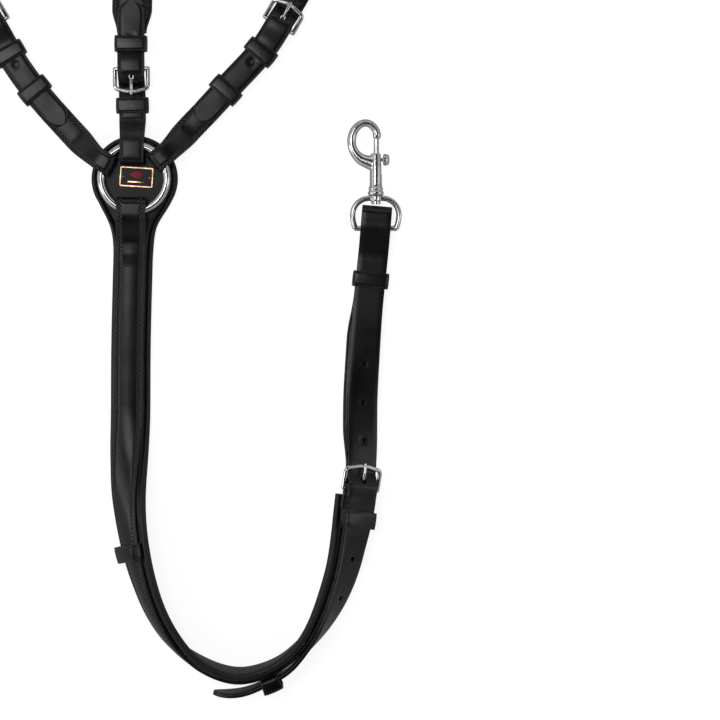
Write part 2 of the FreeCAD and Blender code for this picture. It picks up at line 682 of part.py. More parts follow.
def dee(strap_width):
    """Dee with its straight bar along Y in the strap's fold and its bow ahead of it."""
    r = dee_wire / 2.0
    half = strap_width / 2.0 + 0.9 + r
    straight = 1.5
    shape = rod([V(straight, -half, 0), V(0, -half, 0), V(0, half, 0), V(straight, half, 0)], r)
    return shape.fuse(bend(half, r, V(straight, 0, 0), UP, V(0, -1, 0), 180)).removeSplitter()


def shoulder_arm(name, points, heel_s, tip_at, loose_at, end_s):
    course = Course(points)
    # chape: a flat loop of leather, round the ring at one end and the buckle's heel bar at the other
    spots = []
    seam = 90.0
    for s in steps_between(seam, arm_reach + 5.0, 4.0):
        spots.append((s, arm_low(s), arm_leather))
    spots += [(s, h, arm_leather) for s, h in turn(arm_reach, ring_height, arm_fold, -90, -270)]
    spots.append((ring_middle_radius + 1.0, ring_height + arm_fold, arm_leather))
    for s in steps_between(ring_middle_radius + 3.5, heel_s - 16.0, 3.5):
        spots.append((s, arm_up(s), arm_leather))
    for s in steps_between(heel_s - 14.0, heel_s, 3.5):
        thick = arm_leather + (skived - arm_leather) * smooth_step(s, heel_s - 14.0, heel_s - 3.0)
        lying = arm_base + arm_leather + sewn + thick / 2.0
        top = arm_heel_height + bar_turn
        spots.append((s, lying + (top - lying) * smooth_step(s, heel_s - 13.0, heel_s), thick))
    spots += [(s, h, skived) for s, h in turn(heel_s, arm_heel_height, bar_turn, 90, -90)][1:]
    for s in steps_between(heel_s - 4.0, seam + 0.4, 6.0):
        thick = arm_leather + (skived - arm_leather) * smooth_step(s, heel_s - 14.0, heel_s - 3.0)
        spots.append((s, arm_base + thick / 2.0, thick))
    chape = ribbon(course, [p + (-arm_width_at(p[0]) / 2.0, arm_width_at(p[0]) / 2.0) for p in spots])
    chape = chape.cut(set_on(prong_slot(), course, heel_s, arm_heel_height))
    save(name + "_chape", chape)
    save(name + "_buckle_frame", set_on(buckle_frame(arm_width + 2.0, arm_tilt), course, heel_s,
                                        arm_heel_height))
    save(name + "_buckle_prong", set_on(buckle_prong(arm_tilt), course, heel_s, arm_heel_height))

    # billet: from its rounded tip over the chape and through the buckle to the stitched fold at its end
    edges = (-arm_width / 2.0, arm_width / 2.0)
    spots = []
    rounding = arm_width * 0.5
    for i in range(8, 0, -1):
        a = math.radians(90.0 * i / 8.5)
        half = arm_width / 2.0 * math.cos(a)
        s = tip_at + rounding * (1.0 - math.sin(a))
        spots.append((s, arm_billet(s, heel_s), arm_leather, -half, half))
    for s in steps_between(tip_at + rounding, heel_s - 6.0, 5.0):
        spots.append((s, arm_billet(s, heel_s), arm_leather) + edges)
    for s in steps_between(heel_s - 4.0, heel_s + 30.0, 2.5):
        spots.append((s, arm_billet(s, heel_s), arm_leather) + edges)
    down = table_gap + a_half
    turn_r = dee_wire / 2.0 + free + a_half
    for s in steps_between(heel_s + 34.0, end_s - 6.0, 6.0):
        spots.append((s, arm_billet(s, heel_s), arm_leather) + edges)
    spots += [(s, h, arm_leather) + edges for s, h in turn(end_s, down + turn_r, turn_r, -90, 90)]
    for s in steps_between(end_s - 3.0, end_s - 38.0, 3.5):
        lying = arm_billet(s, heel_s) + arm_leather + sewn
        rise = smooth_step(s, end_s - 20.0, end_s - 2.0)
        spots.append((s, lying + (down + 2 * turn_r - lying) * rise, arm_leather) + edges)
    billet = ribbon(course, spots)
    for k in (-1, 0):
        s = heel_s + prong_hole_x + k * arm_hole_pitch
        depth = 3.2 if k else 8.0
        billet = punched(billet, course, s, arm_billet(s, heel_s), 0.0, depth,
                         0.0 if k else 2.8)
    save(name + "_billet", billet)
    save(name + "_end_dee", set_on(dee(arm_width), course, end_s, down + turn_r))

    def arm_keeper(kind, middle):
        top = arm_billet(middle + keeper_width / 2.0, heel_s) + a_half
        save(name + kind, sleeve(course, middle - keeper_width / 2.0, middle + keeper_width / 2.0,
                                 -arm_width / 2.0 - keeper_room, arm_width / 2.0 + keeper_room,
                                 arm_base - keeper_room, top + keeper_room, keeper_thick))

    arm_keeper("_fixed_keeper", heel_s - 27.0)
    arm_keeper("_loose_keeper", loose_at)


left_points = [(0.0, 0.0), (-14.1, 7.5), (-28.0, 15.2), (-42.3, 28.0), (-55.8, 42.5), (-80.0, 70.0),
               (-98.3, 94.8), (-114.5, 122.5), (-127.5, 145.0), (-150.0, 184.0)]
right_points = [(0.0, 0.0), (13.0, 9.4), (26.2, 20.0), (45.0, 40.6), (59.6, 55.8), (84.6, 83.0),
                (108.0, 109.2), (122.0, 131.0), (133.0, 150.0), (155.0, 190.0)]
shoulder_arm("left", left_points, 176.0, 74.5, 112.0, 236.0)
shoulder_arm("right", right_points, 176.0, 72.0, 106.0, 236.0)

# ---- centre arm to the wither ------------------------------------------------------------------
# Course up from the ring; the padded piece and its buckle face back down towards the ring.
centre = Course([(-1.7, 0.0), (-1.7, 60.0), (-2.6, 100.0), (-1.9, 160.0), (-1.9, 230.0)])
loop_reach = 17.4
centre_heel = 91.0
centre_end = 232.0
padded_from = centre_heel + 30.2
padded_level = table_gap + padded_pad_thick + sewn
centre_top = ring_height + fold_room + a_half


def centre_width_at(s):
    return wither_loop_width + (arm_width - wither_loop_width) * smooth_step(s, 33.0, 50.0)


centre_heel_height = padded_level + skived + running + 0.05 + bar_r


def centre_low(s):
    start = on_ring_low
    return start + (arm_base + a_half - start) * smooth_step(s, pad_head_radius - 2.0, 52.0)


def centre_up(s):
    """Level of the strap: over the ring, on its return, under the toe bar, over the heel bar and on."""
    lying = centre_low(s) + arm_leather + sewn
    lying -= arm_leather * smooth_step(s, 66.0, 76.0) * 0.6
    h = lying + (centre_top - lying) * (1.0 - smooth_step(s, ring_middle_radius + 2.0, 50.0))
    over_bar = centre_heel_height + bar_turn + skived / 2.0 + free + a_half
    after = padded_level + arm_leather * 2 + sewn + free + a_half
    h += (over_bar - lying) * smooth_step(s, centre_heel - 16.0, centre_heel - 2.0)
    return h + (after - over_bar) * smooth_step(s, centre_heel + 4.0, centre_heel + 24.0)


spots = []
for s in steps_between(72.0, loop_reach + 5.0, 4.0):
    thick = feather + (arm_leather - feather) * (1.0 - smooth_step(s, 60.0, 72.0))
    level = centre_low(s) - (arm_leather - thick) / 2.0
    spots.append((s, level, thick))
spots += [(s, h, arm_leather) for s, h in turn(loop_reach, ring_height, arm_fold, -90, -270)]
for s in steps_between(loop_reach + 4.0, centre_heel - 20.0, 4.0):
    spots.append((s, centre_up(s), arm_leather))
for s in steps_between(centre_heel - 18.0, centre_heel + 26.0, 2.5):
    spots.append((s, centre_up(s), arm_leather))
wither_tip = 147.5
for s in steps_between(centre_heel + 30.0, wither_tip - arm_width * 0.5, 5.0):
    spots.append((s, centre_up(s), arm_leather))
centre_places = [p + (-centre_width_at(p[0]) / 2.0, centre_width_at(p[0]) / 2.0) for p in spots]
for i in range(1, 9):
    a = math.radians(90.0 * i / 8.5)
    half = arm_width / 2.0 * math.cos(a)
    s = wither_tip - arm_width * 0.5 * (1.0 - math.sin(a))
    centre_places.append((s, centre_up(s), arm_leather, -half, half))
centre_strap = ribbon(centre, centre_places)
for k in (0, 1):
    s = centre_heel - prong_hole_x + k * hole_pitch
    depth = 3.2 if k else 8.0
    centre_strap = punched(centre_strap, centre, s, centre_up(s), 0.0, depth, 0.0 if k else 2.8)
save("centre_strap", centre_strap)

centre_tilt = 4.0
save("centre_buckle_frame", set_on(buckle_frame(arm_width + 2.0, centre_tilt), centre, centre_heel,
                                   centre_heel_height, 0.0, True))
save("centre_buckle_prong", set_on(buckle_prong(centre_tilt), centre, centre_heel,
                                   centre_heel_height, 0.0, True))

# chape round the heel bar, sewn between the face and the pad of the padded piece
spots = []
for s in steps_between(centre_heel + 40.0, centre_heel + 4.0, 4.0):
    spots.append((s, padded_level + skived / 2.0, skived))
spots += [(s, h, skived) for s, h in turn(centre_heel, centre_heel_height, bar_turn, -90, -270)]
for s in steps_between(centre_heel + 3.0, centre_heel + 25.0, 3.0):
    lying = padded_level + skived * 1.5 + sewn
    top = centre_heel_height + bar_turn
    spots.append((s, lying + (top - lying) * (1.0 - smooth_step(s, centre_heel, centre_heel + 12.0)),
                  skived))
chape = ribbon(centre, [p + (-arm_width / 2.0, arm_width / 2.0) for p in spots])
chape = chape.cut(set_on(prong_slot(), centre, centre_heel, centre_heel_height, 0.0, True))
save("centre_chape", chape)


def padded_half(s):
    """Half width of the padded piece: narrow at its chape, full a little further on."""
    narrow = arm_width / 2.0 + 1.3
    return narrow + (padded_width / 2.0 - narrow) * smooth_step(s, padded_from, padded_from + 20.0)


def padded_sections(bottom, thick, inset):
    sections = []
    for s in steps_between(padded_from, centre_end - 26.0, 5.0):
        half = padded_half(s) - inset
        sections.append([centre.point(s, bottom, -half), centre.point(s, bottom, half),
                         centre.point(s, bottom + thick, half), centre.point(s, bottom + thick, -half)])
    return loft(sections)


pad_solid = padded_sections(table_gap, padded_pad_thick, 0.0)
save("centre_pad", pad_solid)
spots = []
for s in steps_between(padded_from, centre_end - 40.0, 5.0):
    level = padded_level + (skived + sewn) * (1.0 - smooth_step(s, centre_heel + 41.0, centre_heel + 52.0))
    spots.append((s, level + a_half, arm_leather, -padded_half(s) + 2.5, padded_half(s) - 2.5))
end_level = table_gap + a_half
end_turn = dee_wire / 2.0 + free + a_half
for s in steps_between(centre_end - 36.0, centre_end - 4.0, 4.0):
    t = smooth_step(s, centre_end - 40.0, centre_end - 10.0)
    half = padded_half(s) - 2.5
    half += (arm_width / 2.0 - half) * t
    drop = smooth_step(s, centre_end - 25.0, centre_end - 8.0)
    spots.append((s, padded_level + a_half + (end_level - padded_level - a_half) * drop, arm_leather,
                  -half, half))
edge = arm_width / 2.0
spots += [(s, h, arm_leather, -edge, edge)
          for s, h in turn(centre_end, end_level + end_turn, end_turn, -90, 90)]
for s in steps_between(centre_end - 3.0, centre_end - 24.0, 3.0):
    t = smooth_step(s, centre_end - 40.0, centre_end - 10.0)
    drop = smooth_step(s, centre_end - 25.0, centre_end - 8.0)
    lying = padded_level + a_half + (end_level - padded_level - a_half) * drop + arm_leather + 0.3
    rise = smooth_step(s, centre_end - 16.0, centre_end - 1.0)
    top = end_level + 2 * end_turn
    spots.append((s, lying + (top - lying) * rise, arm_leather, -edge, edge))
save("centre_face", ribbon(centre, spots))
save("centre_end_dee", set_on(dee(arm_width), centre, centre_end, end_level + end_turn))


def centre_keeper(name, middle, bottom, top):
    save(name, sleeve(centre, middle - keeper_width / 2.0, middle + keeper_width / 2.0,
                      -arm_width / 2.0 - keeper_room, arm_width / 2.0 + keeper_room,
                      bottom - keeper_room, top + keeper_room, keeper_thick))


centre_keeper("centre_lower_keeper", 60.8, arm_base, centre_up(60.8) + a_half)
upper = centre_heel + 20.7
centre_keeper("centre_upper_keeper", upper, padded_level, centre_up(upper - keeper_width / 2.0) + a_half)
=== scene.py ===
import math

import bmesh
import bpy
from mathutils import Matrix, Vector, noise


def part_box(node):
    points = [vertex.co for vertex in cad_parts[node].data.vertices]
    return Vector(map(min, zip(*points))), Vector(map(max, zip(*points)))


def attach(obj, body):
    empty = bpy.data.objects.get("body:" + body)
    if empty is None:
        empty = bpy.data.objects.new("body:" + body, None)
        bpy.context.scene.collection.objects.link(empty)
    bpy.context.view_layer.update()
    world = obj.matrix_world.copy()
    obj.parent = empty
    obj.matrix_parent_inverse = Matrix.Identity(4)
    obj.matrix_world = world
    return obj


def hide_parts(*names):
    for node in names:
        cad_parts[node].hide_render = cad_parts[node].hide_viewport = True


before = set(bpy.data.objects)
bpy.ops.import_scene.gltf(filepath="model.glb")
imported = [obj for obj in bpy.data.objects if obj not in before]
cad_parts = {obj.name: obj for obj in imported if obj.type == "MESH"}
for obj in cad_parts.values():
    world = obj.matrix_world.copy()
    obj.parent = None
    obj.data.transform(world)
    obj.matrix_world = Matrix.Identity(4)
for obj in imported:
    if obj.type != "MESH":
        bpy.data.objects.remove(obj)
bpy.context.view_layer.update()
mm = 0.001
scene = bpy.context.scene

# ---- studio -------------------------------------------------------------------------------------
# The tack lies on a white table and is seen from straight above through a long lens, under one big
# softbox beside the camera, a strip light on each side, and a dim room.
view_middle = Vector((187.5, -150.8, 0.0)) * mm
view_width = 600.0 * mm
camera_height = 2.6
camera_data = bpy.data.cameras.new("camera")
camera_data.sensor_width = 36.0
camera_data.lens = camera_data.sensor_width * camera_height / view_width
camera_data.clip_end = 20.0
camera = bpy.data.objects.new("camera", camera_data)
camera.location = view_middle + Vector((0, 0, camera_height))
scene.collection.objects.link(camera)
scene.camera = camera
scene.view_settings.view_transform = "Standard"


class Shader:
    """Short way to place shader nodes in one tree and join them up."""

    def __init__(self, tree):
        self.tree = tree

    def add(self, kind, inputs=None, **settings):
        node = self.tree.nodes.new(kind)
        for key, value in settings.items():
            setattr(node, key, value)
        for key, value in (inputs or {}).items():
            if isinstance(value, bpy.types.NodeSocket):
                self.tree.links.new(value, node.inputs[key])
            else:
                node.inputs[key].default_value = value
        return node

    def math(self, operation, a, b=0.0, clamp=False):
        return self.add("ShaderNodeMath", {0: a, 1: b}, operation=operation, use_clamp=clamp).outputs[0]

    def blend(self, factor, a, b):
        node = self.add("ShaderNodeMix", data_type="RGBA")
        for socket, value in ((node.inputs[0], factor), (node.inputs[6], a), (node.inputs[7], b)):
            if isinstance(value, bpy.types.NodeSocket):
                self.tree.links.new(value, socket)
            else:
                socket.default_value = value
        return node.outputs[2]

    def remap(self, value, low, high, to_low=0.0, to_high=1.0):
        return self.add("ShaderNodeMapRange", {0: value, 1: low, 2: high, 3: to_low, 4: to_high}).outputs[0]


def new_material(name):
    material = bpy.data.materials.new(name)
    material.use_nodes = True
    material.node_tree.nodes.clear()
    return material, Shader(material.node_tree)


def surface(shader, inputs):
    principled = shader.add("ShaderNodeBsdfPrincipled", inputs)
    shader.add("ShaderNodeOutputMaterial", {"Surface": principled.outputs[0]})
    return principled


floor_mesh = bpy.data.meshes.new("table")
half_floor = 4.0
floor_mesh.from_pydata([(-half_floor, -half_floor, 0), (half_floor, -half_floor, 0),
                        (half_floor, half_floor, 0), (-half_floor, half_floor, 0)], [], [(0, 1, 2, 3)])
floor = bpy.data.objects.new("table", floor_mesh)
floor.location.z = -0.0003
scene.collection.objects.link(floor)
paper, shader = new_material("white_paper")
seen = shader.add("ShaderNodeLightPath").outputs["Is Camera Ray"]
surface(shader, {"Base Color": (0.5, 0.5, 0.5, 1), "Roughness": 0.9, "Specular IOR Level": 0.1,
                 "Emission Color": (1, 1, 1, 1),
                 "Emission Strength": shader.remap(seen, 0.0, 1.0, 0.12, 0.86)})
floor_mesh.materials.append(paper)

world = bpy.data.worlds.new("room")
scene.world = world
world.use_nodes = True
world.node_tree.nodes.clear()
shader = Shader(world.node_tree)
toward = shader.add("ShaderNodeSeparateXYZ", {0: shader.add("ShaderNodeTexCoord").outputs["Generated"]})
wall = shader.math("SUBTRACT", shader.remap(toward.outputs[2], 0.0, 0.25, 0.15, 0.75),
                   shader.remap(toward.outputs[2], 0.5, 0.86, 0.0, 0.71))
sides = shader.remap(shader.math("ABSOLUTE", toward.outputs[0]), 0.1, 0.7, 0.45, 1.0)
left_side = shader.remap(toward.outputs[0], -0.6, 0.6, 1.0, 0.7)
level = shader.math("MULTIPLY", shader.math("MULTIPLY", wall, sides), left_side)
room = shader.add("ShaderNodeBackground", {"Color": (0.97, 0.98, 1.0, 1), "Strength": level})
shader.add("ShaderNodeOutputWorld", {"Surface": room.outputs[0]})


def softbox(name, place, aim, width, height, power):
    lamp = bpy.data.lights.new(name, "AREA")
    lamp.shape = "RECTANGLE"
    lamp.size, lamp.size_y = width, height
    lamp.energy = power
    light = bpy.data.objects.new(name, lamp)
    light.location = place
    light.rotation_euler = (Vector(aim) - Vector(place)).to_track_quat("-Z", "Y").to_euler()
    scene.collection.objects.link(light)


softbox("overhead", (-0.52, 0.28, 2.3), (-0.2, 0.1, 0), 0.55, 0.9, 6.5)
softbox("left_strip", (-1.3, -0.3, 0.9), (0.05, -0.15, 0), 0.3, 1.4, 2.6)
softbox("right_strip", (1.5, -0.1, 1.1), (0.1, -0.15, 0), 0.35, 1.3, 1.6)
softbox("head_strip", (0.2, 1.4, 1.0), (0.1, -0.1, 0), 1.2, 0.3, 1.4)


# ---- leather: the course of the straps and the hide they are cut from ---------------------------
# Black bridle leather, waxed and semi-gloss. Each strap lies along a course over the table, given
# by plan points in millimetres and the lean of its face in degrees, as in the part's design.
def smooth_step(x, start, end):
    t = min(1.0, max(0.0, (x - start) / (end - start)))
    return t * t * (3.0 - 2.0 * t)


def through(knots, values):
    """Smooth curve through values at knots, as a function (natural cubic spline)."""
    n = len(knots)
    bend, diagonal, load = [0.0] * n, [1.0] * n, [0.0] * n
    for i in range(1, n - 1):
        before, after = knots[i] - knots[i - 1], knots[i + 1] - knots[i]
        slope_change = (values[i + 1] - values[i]) / after - (values[i] - values[i - 1]) / before
        upper = before / diagonal[i - 1] if i > 1 else 0.0
        diagonal[i] = 2.0 * (before + after) - upper * before
        load[i] = 6.0 * slope_change - upper * load[i - 1]
    for i in range(n - 2, 0, -1):
        bend[i] = (load[i] - (knots[i + 1] - knots[i]) * bend[i + 1]) / diagonal[i]

    def value(x):
        i = 0
        while i < n - 2 and x > knots[i + 1]:
            i += 1
        span = knots[i + 1] - knots[i]
        if x < knots[0] or x > knots[-1]:
            end = 0 if x < knots[0] else n - 1
            slope = (values[i + 1] - values[i]) / span
            slope += (bend[i + 1] if end else -bend[i + 1]) * span / 6.0
            return values[end] + slope * (x - knots[end])
        a, b = (knots[i + 1] - x) / span, (x - knots[i]) / span
        return (a * values[i] + b * values[i + 1]
                + ((a ** 3 - a) * bend[i] + (b ** 3 - b) * bend[i + 1]) * span ** 2 / 6.0)

    return value


class Course:
    """Line over the table that a strap follows. A place on it is (s, h, w): s along the line, h off
    the back of the bundle and w to the right of travel, in millimetres; points come out in metres."""

    def __init__(self, points, foot=0.0, depth=0.0, stiff=None):
        self.foot, self.depth, self.stiff = foot, depth, stiff
        knots = running_length(points)
        self.length = knots[-1]
        self.x = through(knots, [p[0] for p in points])
        self.y = through(knots, [p[1] for p in points])
        self.lean = through(knots, [p[2] if len(p) > 2 else 0.0 for p in points])

    def held(self, s):
        """Place whose directions rule at s: a buckle keeps the strap from twisting along its length."""
        if not self.stiff:
            return s
        start, end, ease = self.stiff
        middle = (start + end) / 2.0
        if start <= s <= end:
            return middle
        if s < start:
            return s if s < start - ease else middle + (start - ease - middle) * (start - s) / ease
        return s if s > end + ease else middle + (end + ease - middle) * (s - end) / ease

    def frame(self, s):
        rule = self.held(s)
        along = Vector((self.x(rule + 0.5) - self.x(rule - 0.5), self.y(rule + 0.5) - self.y(rule - 0.5), 0))
        along.normalize()
        outward = along.cross(Vector((0, 0, 1)))
        lean = math.radians(max(0.0, self.lean(rule)))
        face = Vector((0, 0, 1)) * math.cos(lean) + outward * math.sin(lean)
        rise = self.foot * math.sin(lean) + self.depth * max(0.0, -math.cos(lean))
        return Vector((self.x(s), self.y(s), rise)), along, along.cross(face), face

    def point(self, s, h, w=0.0):
        base, _, across, face = self.frame(s)
        return (base + across * w + face * h) * mm

    def at_height(self, y, start, end):
        """s between start and end where the line passes a given y."""
        low, high = start, end
        rising = self.y(end) > self.y(start)
        for _ in range(40):
            middle = (low + high) / 2.0
            if (self.y(middle) < y) == rising:
                low = middle
            else:
                high = middle
        return (low + high) / 2.0

    def sloped(self, s, level, rise, w=0.0):
        """Spot on a strap's face, rise above its middle level(s), turned with the strap's slope."""
        travel = (self.point(s + 1.0, level(s + 1.0)) - self.point(s - 1.0, level(s - 1.0))).normalized()
        across = self.frame(s)[2]
        face = across.cross(travel).normalized()
        turned = Matrix((travel, -across, face)).transposed().to_4x4()
        return Matrix.Translation(self.point(s, level(s), w) + face * rise * mm) @ turned

    def spot(self, s, h, w=0.0):
        """Local axes at a place: X along the strap, Y to its left, Z off its face."""
        _, along, across, face = self.frame(s)
        turned = Matrix((along, -across, face)).transposed().to_4x4()
        return Matrix.Translation(self.point(s, h, w)) @ turned


def steps_between(start, end, pitch=1.6):
    n = max(1, int(math.ceil(abs(end - start) / pitch)))
    return [start + (end - start) * i / n for i in range(n + 1)]


def turn(s, h, radius, start, end, steps=28):
    """Places (s, h) on an arc round a bar, angles in degrees from +s towards +h."""
    angles = [math.radians(start + (end - start) * i / steps) for i in range(steps + 1)]
    return [(s + radius * math.cos(a), h + radius * math.sin(a)) for a in angles]


def running_length(points):
    """Distance from the first point to each, in plan."""
    far = [0.0]
    for a, b in zip(points, points[1:]):
        far.append(far[-1] + math.hypot(b[0] - a[0], b[1] - a[1]))
    return far


def join_rings(bm, rings, capped=True):
    """Walls from ring to ring of verts, and a face over each end."""
    for here, there in zip(rings, rings[1:]):
        for k in range(len(here)):
            after = (k + 1) % len(here)
            bm.faces.new((here[k], here[after], there[after], there[k]))
    if capped:
        bm.faces.new(rings[0])
        bm.faces.new(reversed(rings[-1]))


def finish_mesh(name, bm, sharp=50.0):
    bmesh.ops.recalc_face_normals(bm, faces=bm.faces)
    mesh = bpy.data.meshes.new(name)
    bm.to_mesh(mesh)
    bm.free()
    mesh.polygons.foreach_set("use_smooth", [True] * len(mesh.polygons))
    mesh.set_sharp_from_angle(angle=math.radians(sharp))
    piece = bpy.data.objects.new(name, mesh)
    scene.collection.objects.link(piece)
    return piece


def skin(name, sections, marks, lengths, closed=False):
    """Closed mesh over outlines of equal length. marks gives (v, wear) of each outline point, lengths
    the place of each outline along the piece; both in millimetres, and kept in the UV map. The wear
    mark, kept on each vertex, is partly rubbing and partly painted highlight."""
    bm = bmesh.new()
    uv_layer = bm.loops.layers.uv.new("UVMap")
    wear_and_highlight_layer = bm.verts.layers.float.new("wear_and_highlight")
    rings = []
    for section, mark in zip(sections, marks):
        ring = [bm.verts.new(p) for p in section]
        for vert, (_, wear_and_highlight) in zip(ring, mark):
            vert[wear_and_highlight_layer] = wear_and_highlight
        rings.append(ring)
    count = len(rings[0])
    last = len(rings) if closed else len(rings) - 1
    for i in range(last):
        here, there = rings[i], rings[(i + 1) % len(rings)]
        for j in range(count):
            k = (j + 1) % count
            face = bm.faces.new((here[j], here[k], there[k], there[j]))
            v = marks[i][j][0], marks[i][k][0]
            u = lengths[i], lengths[i + 1] if i + 1 < len(lengths) else lengths[i] + 1.0
            for loop, place in zip(face.loops, ((u[0], v[0]), (u[0], v[1]), (u[1], v[1]), (u[1], v[0]))):
                loop[uv_layer].uv = (place[0] * mm, place[1] * mm)
    if not closed:
        bm.faces.new(rings[0])
        bm.faces.new(reversed(rings[-1]))
    return finish_mesh(name, bm)


def strap_outline(low, high, thick, row=None, crown=0.0, crease=1.7):
    """Section of a strap: (w, depth under the face, wear) from its lower left edge over the face to its
    lower right edge. The wear mark is high on the rounded edges and beside the crease, where it lightens
    the colour as rubbing and as painted highlight. The edges are rounded and creased; a stitch row lies
    in a groove row in from an edge, and the face swells by crown between the rows."""
    squeeze = min(1.0, (high - low) / 12.0)
    side = min(0.75, thick * 0.35)
    # wear marks are high on the rounded edge and the crease's shoulders: partly rubbing, partly painted
    # highlight
    half = [(0.8, thick, 0.2), (0.22, thick - side * 0.25, 0.5), (0.0, thick - side, 0.6), (0.0, side, 0.8),
            (0.1, side * 0.45, 1.0), (0.35, side * 0.12, 1.0), (0.8, 0.0, 0.55),
            (crease - 0.42, 0.0, 0.35), (crease, 0.24, 0.0), (crease + 0.42, 0.0, 0.3)]
    if row:
        half += [(row - 0.95, 0.05, 0.1), (row - 0.4, 0.3, 0.0), (row, 0.42, 0.0), (row + 0.45, 0.25, 0.0),
                 (row + 1.1, -0.22 * crown, 0.15)]
    inner = half[-1][0] * squeeze
    reach = (high - low) / 2.0
    if row:
        fractions = (0.2, 0.45, 0.72)
        half += [((inner + (reach - inner) * t) / squeeze, -crown * (1.0 - 0.78 * (1.0 - t) ** 2), 0.1)
                 for t in fractions]
    else:
        fractions = (0.25, 0.55, 0.8)
        half += [((inner + (reach - inner) * t) / squeeze, -crown * (1.0 - (1.0 - t) ** 2), 0.1)
                 for t in fractions]
    left = [(low + offset * squeeze, depth, wear_and_highlight) for offset, depth, wear_and_highlight in half]
    right = [(high - offset * squeeze, depth, wear_and_highlight) for offset, depth, wear_and_highlight in reversed(half)]
    middle = (low + high) / 2.0
    under = [(w, thick, 0.0) for w, _, _ in reversed(left[-3:] + [(middle, 0, 0)] + right[:3])]
    return left + [(middle, -crown, 0.1)] + right + under


def strap(name, course, places, row=None, crease=1.7, uneven=0.12):
    """Strap that follows places (s, h, thickness, left edge, right edge, crown)."""
    middles = [course.point(p[0], p[1]) for p in places]
    sections, marks, lengths = [], [], [0.0]
    for i, (s, h, thick, low, high, crown) in enumerate(places):
        travel = middles[min(i + 1, len(places) - 1)] - middles[max(i - 1, 0)]
        across = course.frame(s)[2]
        off = across.cross(travel).normalized()
        drift = uneven * noise.noise(Vector((s * 0.021, h * 0.03, len(name) * 7.3)))
        outline = strap_outline(low + drift, high + drift, thick, row, crown, crease)
        ripple = 0.1 * crown * noise.noise(Vector((s * 0.06, 3.1, len(name) * 3.7)))
        sections.append([middles[i] + (across * w + off * (thick / 2.0 - depth + ripple)) * mm
                         for w, depth, _ in outline])
        marks.append([(w, wear_and_highlight) for w, _, wear_and_highlight in outline])
        if i:
            lengths.append(lengths[-1] + (middles[i] - middles[i - 1]).length / mm)
    return skin(name, sections, marks, lengths)


def round_tip(course_level, start, tip, width, thick):
    """Places that round a strap's end from start, where it has full width, to its tip."""
    places = []
    for i in range(1, 17):
        a = math.radians(90.0 * i / 16.5)
        s = start + (tip - start) * math.sin(a)
        half = width / 2.0 * math.cos(a)
        places.append((s, course_level(s), thick, -half, half, 0.0))
    return places


def lace(bm, outer, inner, back):
    """Triangles between two loops round the axis of a hole, paired by their bearing from it."""

    def bearing(vert):
        p = back @ vert.co
        return math.atan2(p.y, p.x)

    outer, inner = sorted(outer, key=bearing), sorted(inner, key=bearing)
    i = j = 0
    n, m = len(outer), len(inner)
    full = 2.0 * math.pi
    while i < n or j < m:
        next_outer = bearing(outer[(i + 1) % n]) + full * ((i + 1) // n)
        next_inner = bearing(inner[(j + 1) % m]) + full * ((j + 1) // m)
        if j >= m or (i < n and next_outer <= next_inner):
            bm.faces.new((outer[i % n], outer[(i + 1) % n], inner[j % m]))
            i += 1
        else:
            bm.faces.new((inner[(j + 1) % m], inner[j % m], outer[i % n]))
            j += 1


hole_facets = 24
patch_x, patch_y, patch_depth = 4.9, 3.3, 1.2


def punch(name, piece, spots, radius):
    """Round holes through a strap, with a pressed rim: a patch of each face is opened and lined. A spot
    is the hole's axes on the upper face, the strap's thickness, and how far the prong has drawn it long."""
    bm = bmesh.new()
    bm.from_mesh(piece.data)
    bm.normal_update()
    for spot, thick, stretch in spots:
        back = spot.inverted()
        level_turn = back.to_3x3()
        rims = []
        for level, facing in ((0.0, 1.0), (-thick, -1.0)):
            inside = []
            for vert in bm.verts:
                p = back @ vert.co / mm
                outward = (level_turn @ vert.normal).z * facing > 0.3
                beside = abs(p.x) < patch_x + stretch and abs(p.y) < patch_y
                if outward and beside and abs(p.z - level) < patch_depth:
                    inside.append(vert)
            opening = {e for v in inside for f in v.link_faces for e in f.edges
                       if not any(w in inside for w in e.verts)}
            bmesh.ops.delete(bm, geom=inside, context="VERTS")
            opening = [e for e in opening if e.is_valid]
            rings = []
            for r, sink in ((radius + 0.75, 0.0), (radius + 0.25, 0.12), (radius, 0.5)):
                ring = []
                for k in range(hole_facets):
                    a = 2.0 * math.pi * k / hole_facets
                    x = r * math.cos(a) + math.copysign(stretch, math.cos(a))
                    rim = Vector((x, r * math.sin(a), level - facing * sink)) * mm
                    ring.append(bm.verts.new(spot @ rim))
                rings.append(ring)
            lace(bm, {v for e in opening for v in e.verts}, rings[0], back)
            join_rings(bm, rings, capped=False)
            rims.append(rings[-1])
        join_rings(bm, rims, capped=False)
    bpy.data.objects.remove(piece)
    return finish_mesh(name, bm)


def settle(piece):
    """Puts a piece's modifiers into its mesh."""
    graph = bpy.context.evaluated_depsgraph_get()
    mesh = bpy.data.meshes.new_from_object(piece.evaluated_get(graph))
    piece.modifiers.clear()
    piece.data = mesh


def put_on(piece, body, slot, material, *nodes):
    piece.data.materials.clear()
    piece.data.materials.append(material)
    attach(piece, body)
    if nodes:
        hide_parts(*nodes)


def group(name, inputs, outputs):
    tree = bpy.data.node_groups.new(name, "ShaderNodeTree")
    kinds = {"f": "NodeSocketFloat", "c": "NodeSocketColor"}
    for label, kind, value in inputs:
        tree.interface.new_socket(label, in_out="INPUT", socket_type=kinds[kind]).default_value = value
    for label, kind in outputs:
        tree.interface.new_socket(label, in_out="OUTPUT", socket_type=kinds[kind])
    return tree, Shader(tree)


